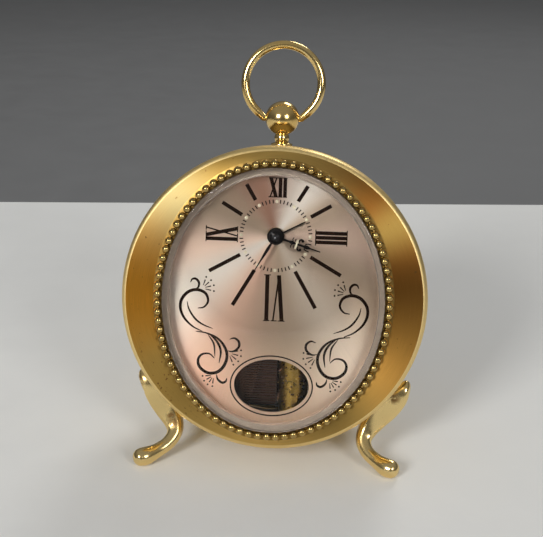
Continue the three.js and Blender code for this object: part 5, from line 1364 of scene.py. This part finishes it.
case_drum()
bezel()
bead_wire()
crystal()
dial_ring()
dial()
dial_print()
hour_dots()
alarm_hand()
hour_hand()
minute_hand()
hub_nut()
pendant()
bow()
leg("leg_casting_right", "leg_right", False, bent=RIGHT_LEG_BENT)
leg("leg_casting_left", "leg_left", True, drawn_in=LEFT_LEG_DRAWN_IN)
music_cylinder()
comb_slot_shade()
winding_key("time_key_wings", "time_key", "time_winder", TIME_KEY)
winding_key("music_key_wings", "music_key", "music_winder", MUSIC_KEY)
knurled_knob("hand_knob", "hand_set_knob", "centre", HAND_KNOB)
knurled_knob("alarm_knob", "alarm_set_knob", "alarm_setter", ALARM_KNOB)
stop_button()
cover_screws()
cover_marks()


# Materials of the solids that stay as packed

PACKED_FINISHES = [
    (cover_brass, ["back_cover"]),
    (plate_brass, ["movement_front_plate", "movement_back_plate"]),
    # Inner parts in dark metal, darkened as painted shade inside the case.
    (dark_metal_and_shade, ["music_bedplate", "comb_base", "cylinder_bracket_top", "cylinder_bracket_bottom"]),
    (wheel_brass, [
        "centre_arbor", "cannon_pinion", "hour_wheel", "minute_wheel", "third_wheel", "time_barrel",
        "alarm_wheel", "balance_wheel", "music_barrel", "music_cylinder", "pendant_nut",
        "movement_pillar_1", "movement_pillar_2", "movement_pillar_3", "movement_pillar_4",
        "music_post_1", "music_post_2", "music_post_3",
    ]),
    (steel, [
        "leg_screw_right", "leg_screw_left", "comb_screw_1", "comb_screw_2", "regulator_lever",
        "alarm_set_arbor", "time_winding_arbor", "music_winding_arbor",
    ]),
    # The comb in steel darkened as painted shade.
    (comb_steel, ["music_comb"]),
]
for finish, nodes in PACKED_FINISHES:
    for node in nodes:
        frame["nodes"][node].data.materials.clear()
        frame["nodes"][node].data.materials.append(finish)


# Studio

def camera_matrix():
    """Where the photograph was taken from, in the row frame."""
    turn = (Matrix.Rotation(CAMERA_ROLL, 3, "Z") @ Matrix.Rotation(CAMERA_TILT, 3, "X")
            @ Matrix.Rotation(CAMERA_YAW, 3, "Y"))
    facing = Matrix(((1, 0, 0), (0, 0, 1), (0, -1, 0)))
    back = (turn @ facing).transposed()
    matrix = back.to_4x4()
    matrix.translation = back @ -CAMERA_OFFSET * MM
    return CLOCK @ matrix


def add_camera():
    optics = bpy.data.cameras.new("camera")
    optics.sensor_width = SENSOR_WIDTH
    optics.sensor_fit = "HORIZONTAL"
    optics.lens = FOCAL_PIXELS / IMAGE_WIDTH * SENSOR_WIDTH
    optics.clip_start = CLIP_START
    camera = add_object("camera", optics)
    camera.matrix_world = camera_matrix()
    bpy.context.scene.camera = camera


def table_point(x, y):
    """Where the sight line through a pixel of the photograph meets the table, in the row frame."""
    matrix = camera_matrix()
    pixel = Vector((x - IMAGE_WIDTH / 2, IMAGE_HEIGHT / 2 - y, -FOCAL_PIXELS))
    start, aim = matrix.translation, (matrix.to_3x3() @ pixel).normalized()
    return start + aim * (-start.z / aim.z)


def stage_sheet(name, corners, material):
    """A flat part of the studio."""
    mesh = bpy.data.meshes.new(name)
    mesh.from_pydata(corners, [], [(0, 1, 2, 3)])
    mesh.materials.append(material)
    add_object(name, mesh)


def add_floor():
    """The pale table, and the darker ground behind its far edge."""
    left, right = table_point(0, TABLE_EDGE_LEFT), table_point(IMAGE_WIDTH, TABLE_EDGE_RIGHT)
    edge = (right - left).normalized()
    middle = (left + right) / 2
    front = Vector((edge.y, -edge.x, 0)) * STUDIO_SIZE
    far_left, far_right = middle - edge * STUDIO_SIZE, middle + edge * STUDIO_SIZE
    stage_sheet("table", [far_left + front, far_right + front, far_right, far_left],
                plain("table_paint", TABLE_COLOR, 0, 0.8, 60, 0.02, 0.2))
    stage_sheet("ground", [far_left, far_right, far_right - front, far_left - front],
                plain("ground_paint", GROUND_COLOR, 0, 0.9, 40, 0.08, 0.1))


def add_world():
    """An even grey sky that is brighter overhead."""
    world = bpy.data.worlds.new("studio")
    world.use_nodes = True
    nodes = Nodes(world.node_tree)
    split = nodes.add("SeparateXYZ", nodes.add("TexCoord").outputs["Generated"])
    rise = nodes.add("MapRange", split.outputs["Z"], WORLD_LOW_AT, WORLD_HIGH_AT, WORLD_LOW, WORLD_HIGH,
                     interpolation_type="SMOOTHSTEP")
    background = nodes.tree.nodes["Background"]
    nodes.feed(background.inputs["Strength"], rise.outputs[0])
    nodes.feed(background.inputs["Color"], (*WORLD_COLOR, 1))
    bpy.context.scene.world = world


def soft_lamp(name, place, target, power):
    """A square soft lamp that points at a target, all in metres in the row frame."""
    light = bpy.data.lights.new(name, "AREA")
    light.shape = "RECTANGLE"
    light.size = LAMP_SIZE
    light.size_y = LAMP_SIZE
    light.energy = power
    light.spread = LAMP_SPREAD
    lamp = add_object(name, light)
    lamp.location = place
    lamp.rotation_euler = (Vector(target) - Vector(place)).to_track_quat("-Z", "Y").to_euler()


add_camera()
add_floor()
add_world()
for lamp_row in LAMPS:
    soft_lamp(*lamp_row)
bpy.context.scene.view_settings.view_transform = "Standard"
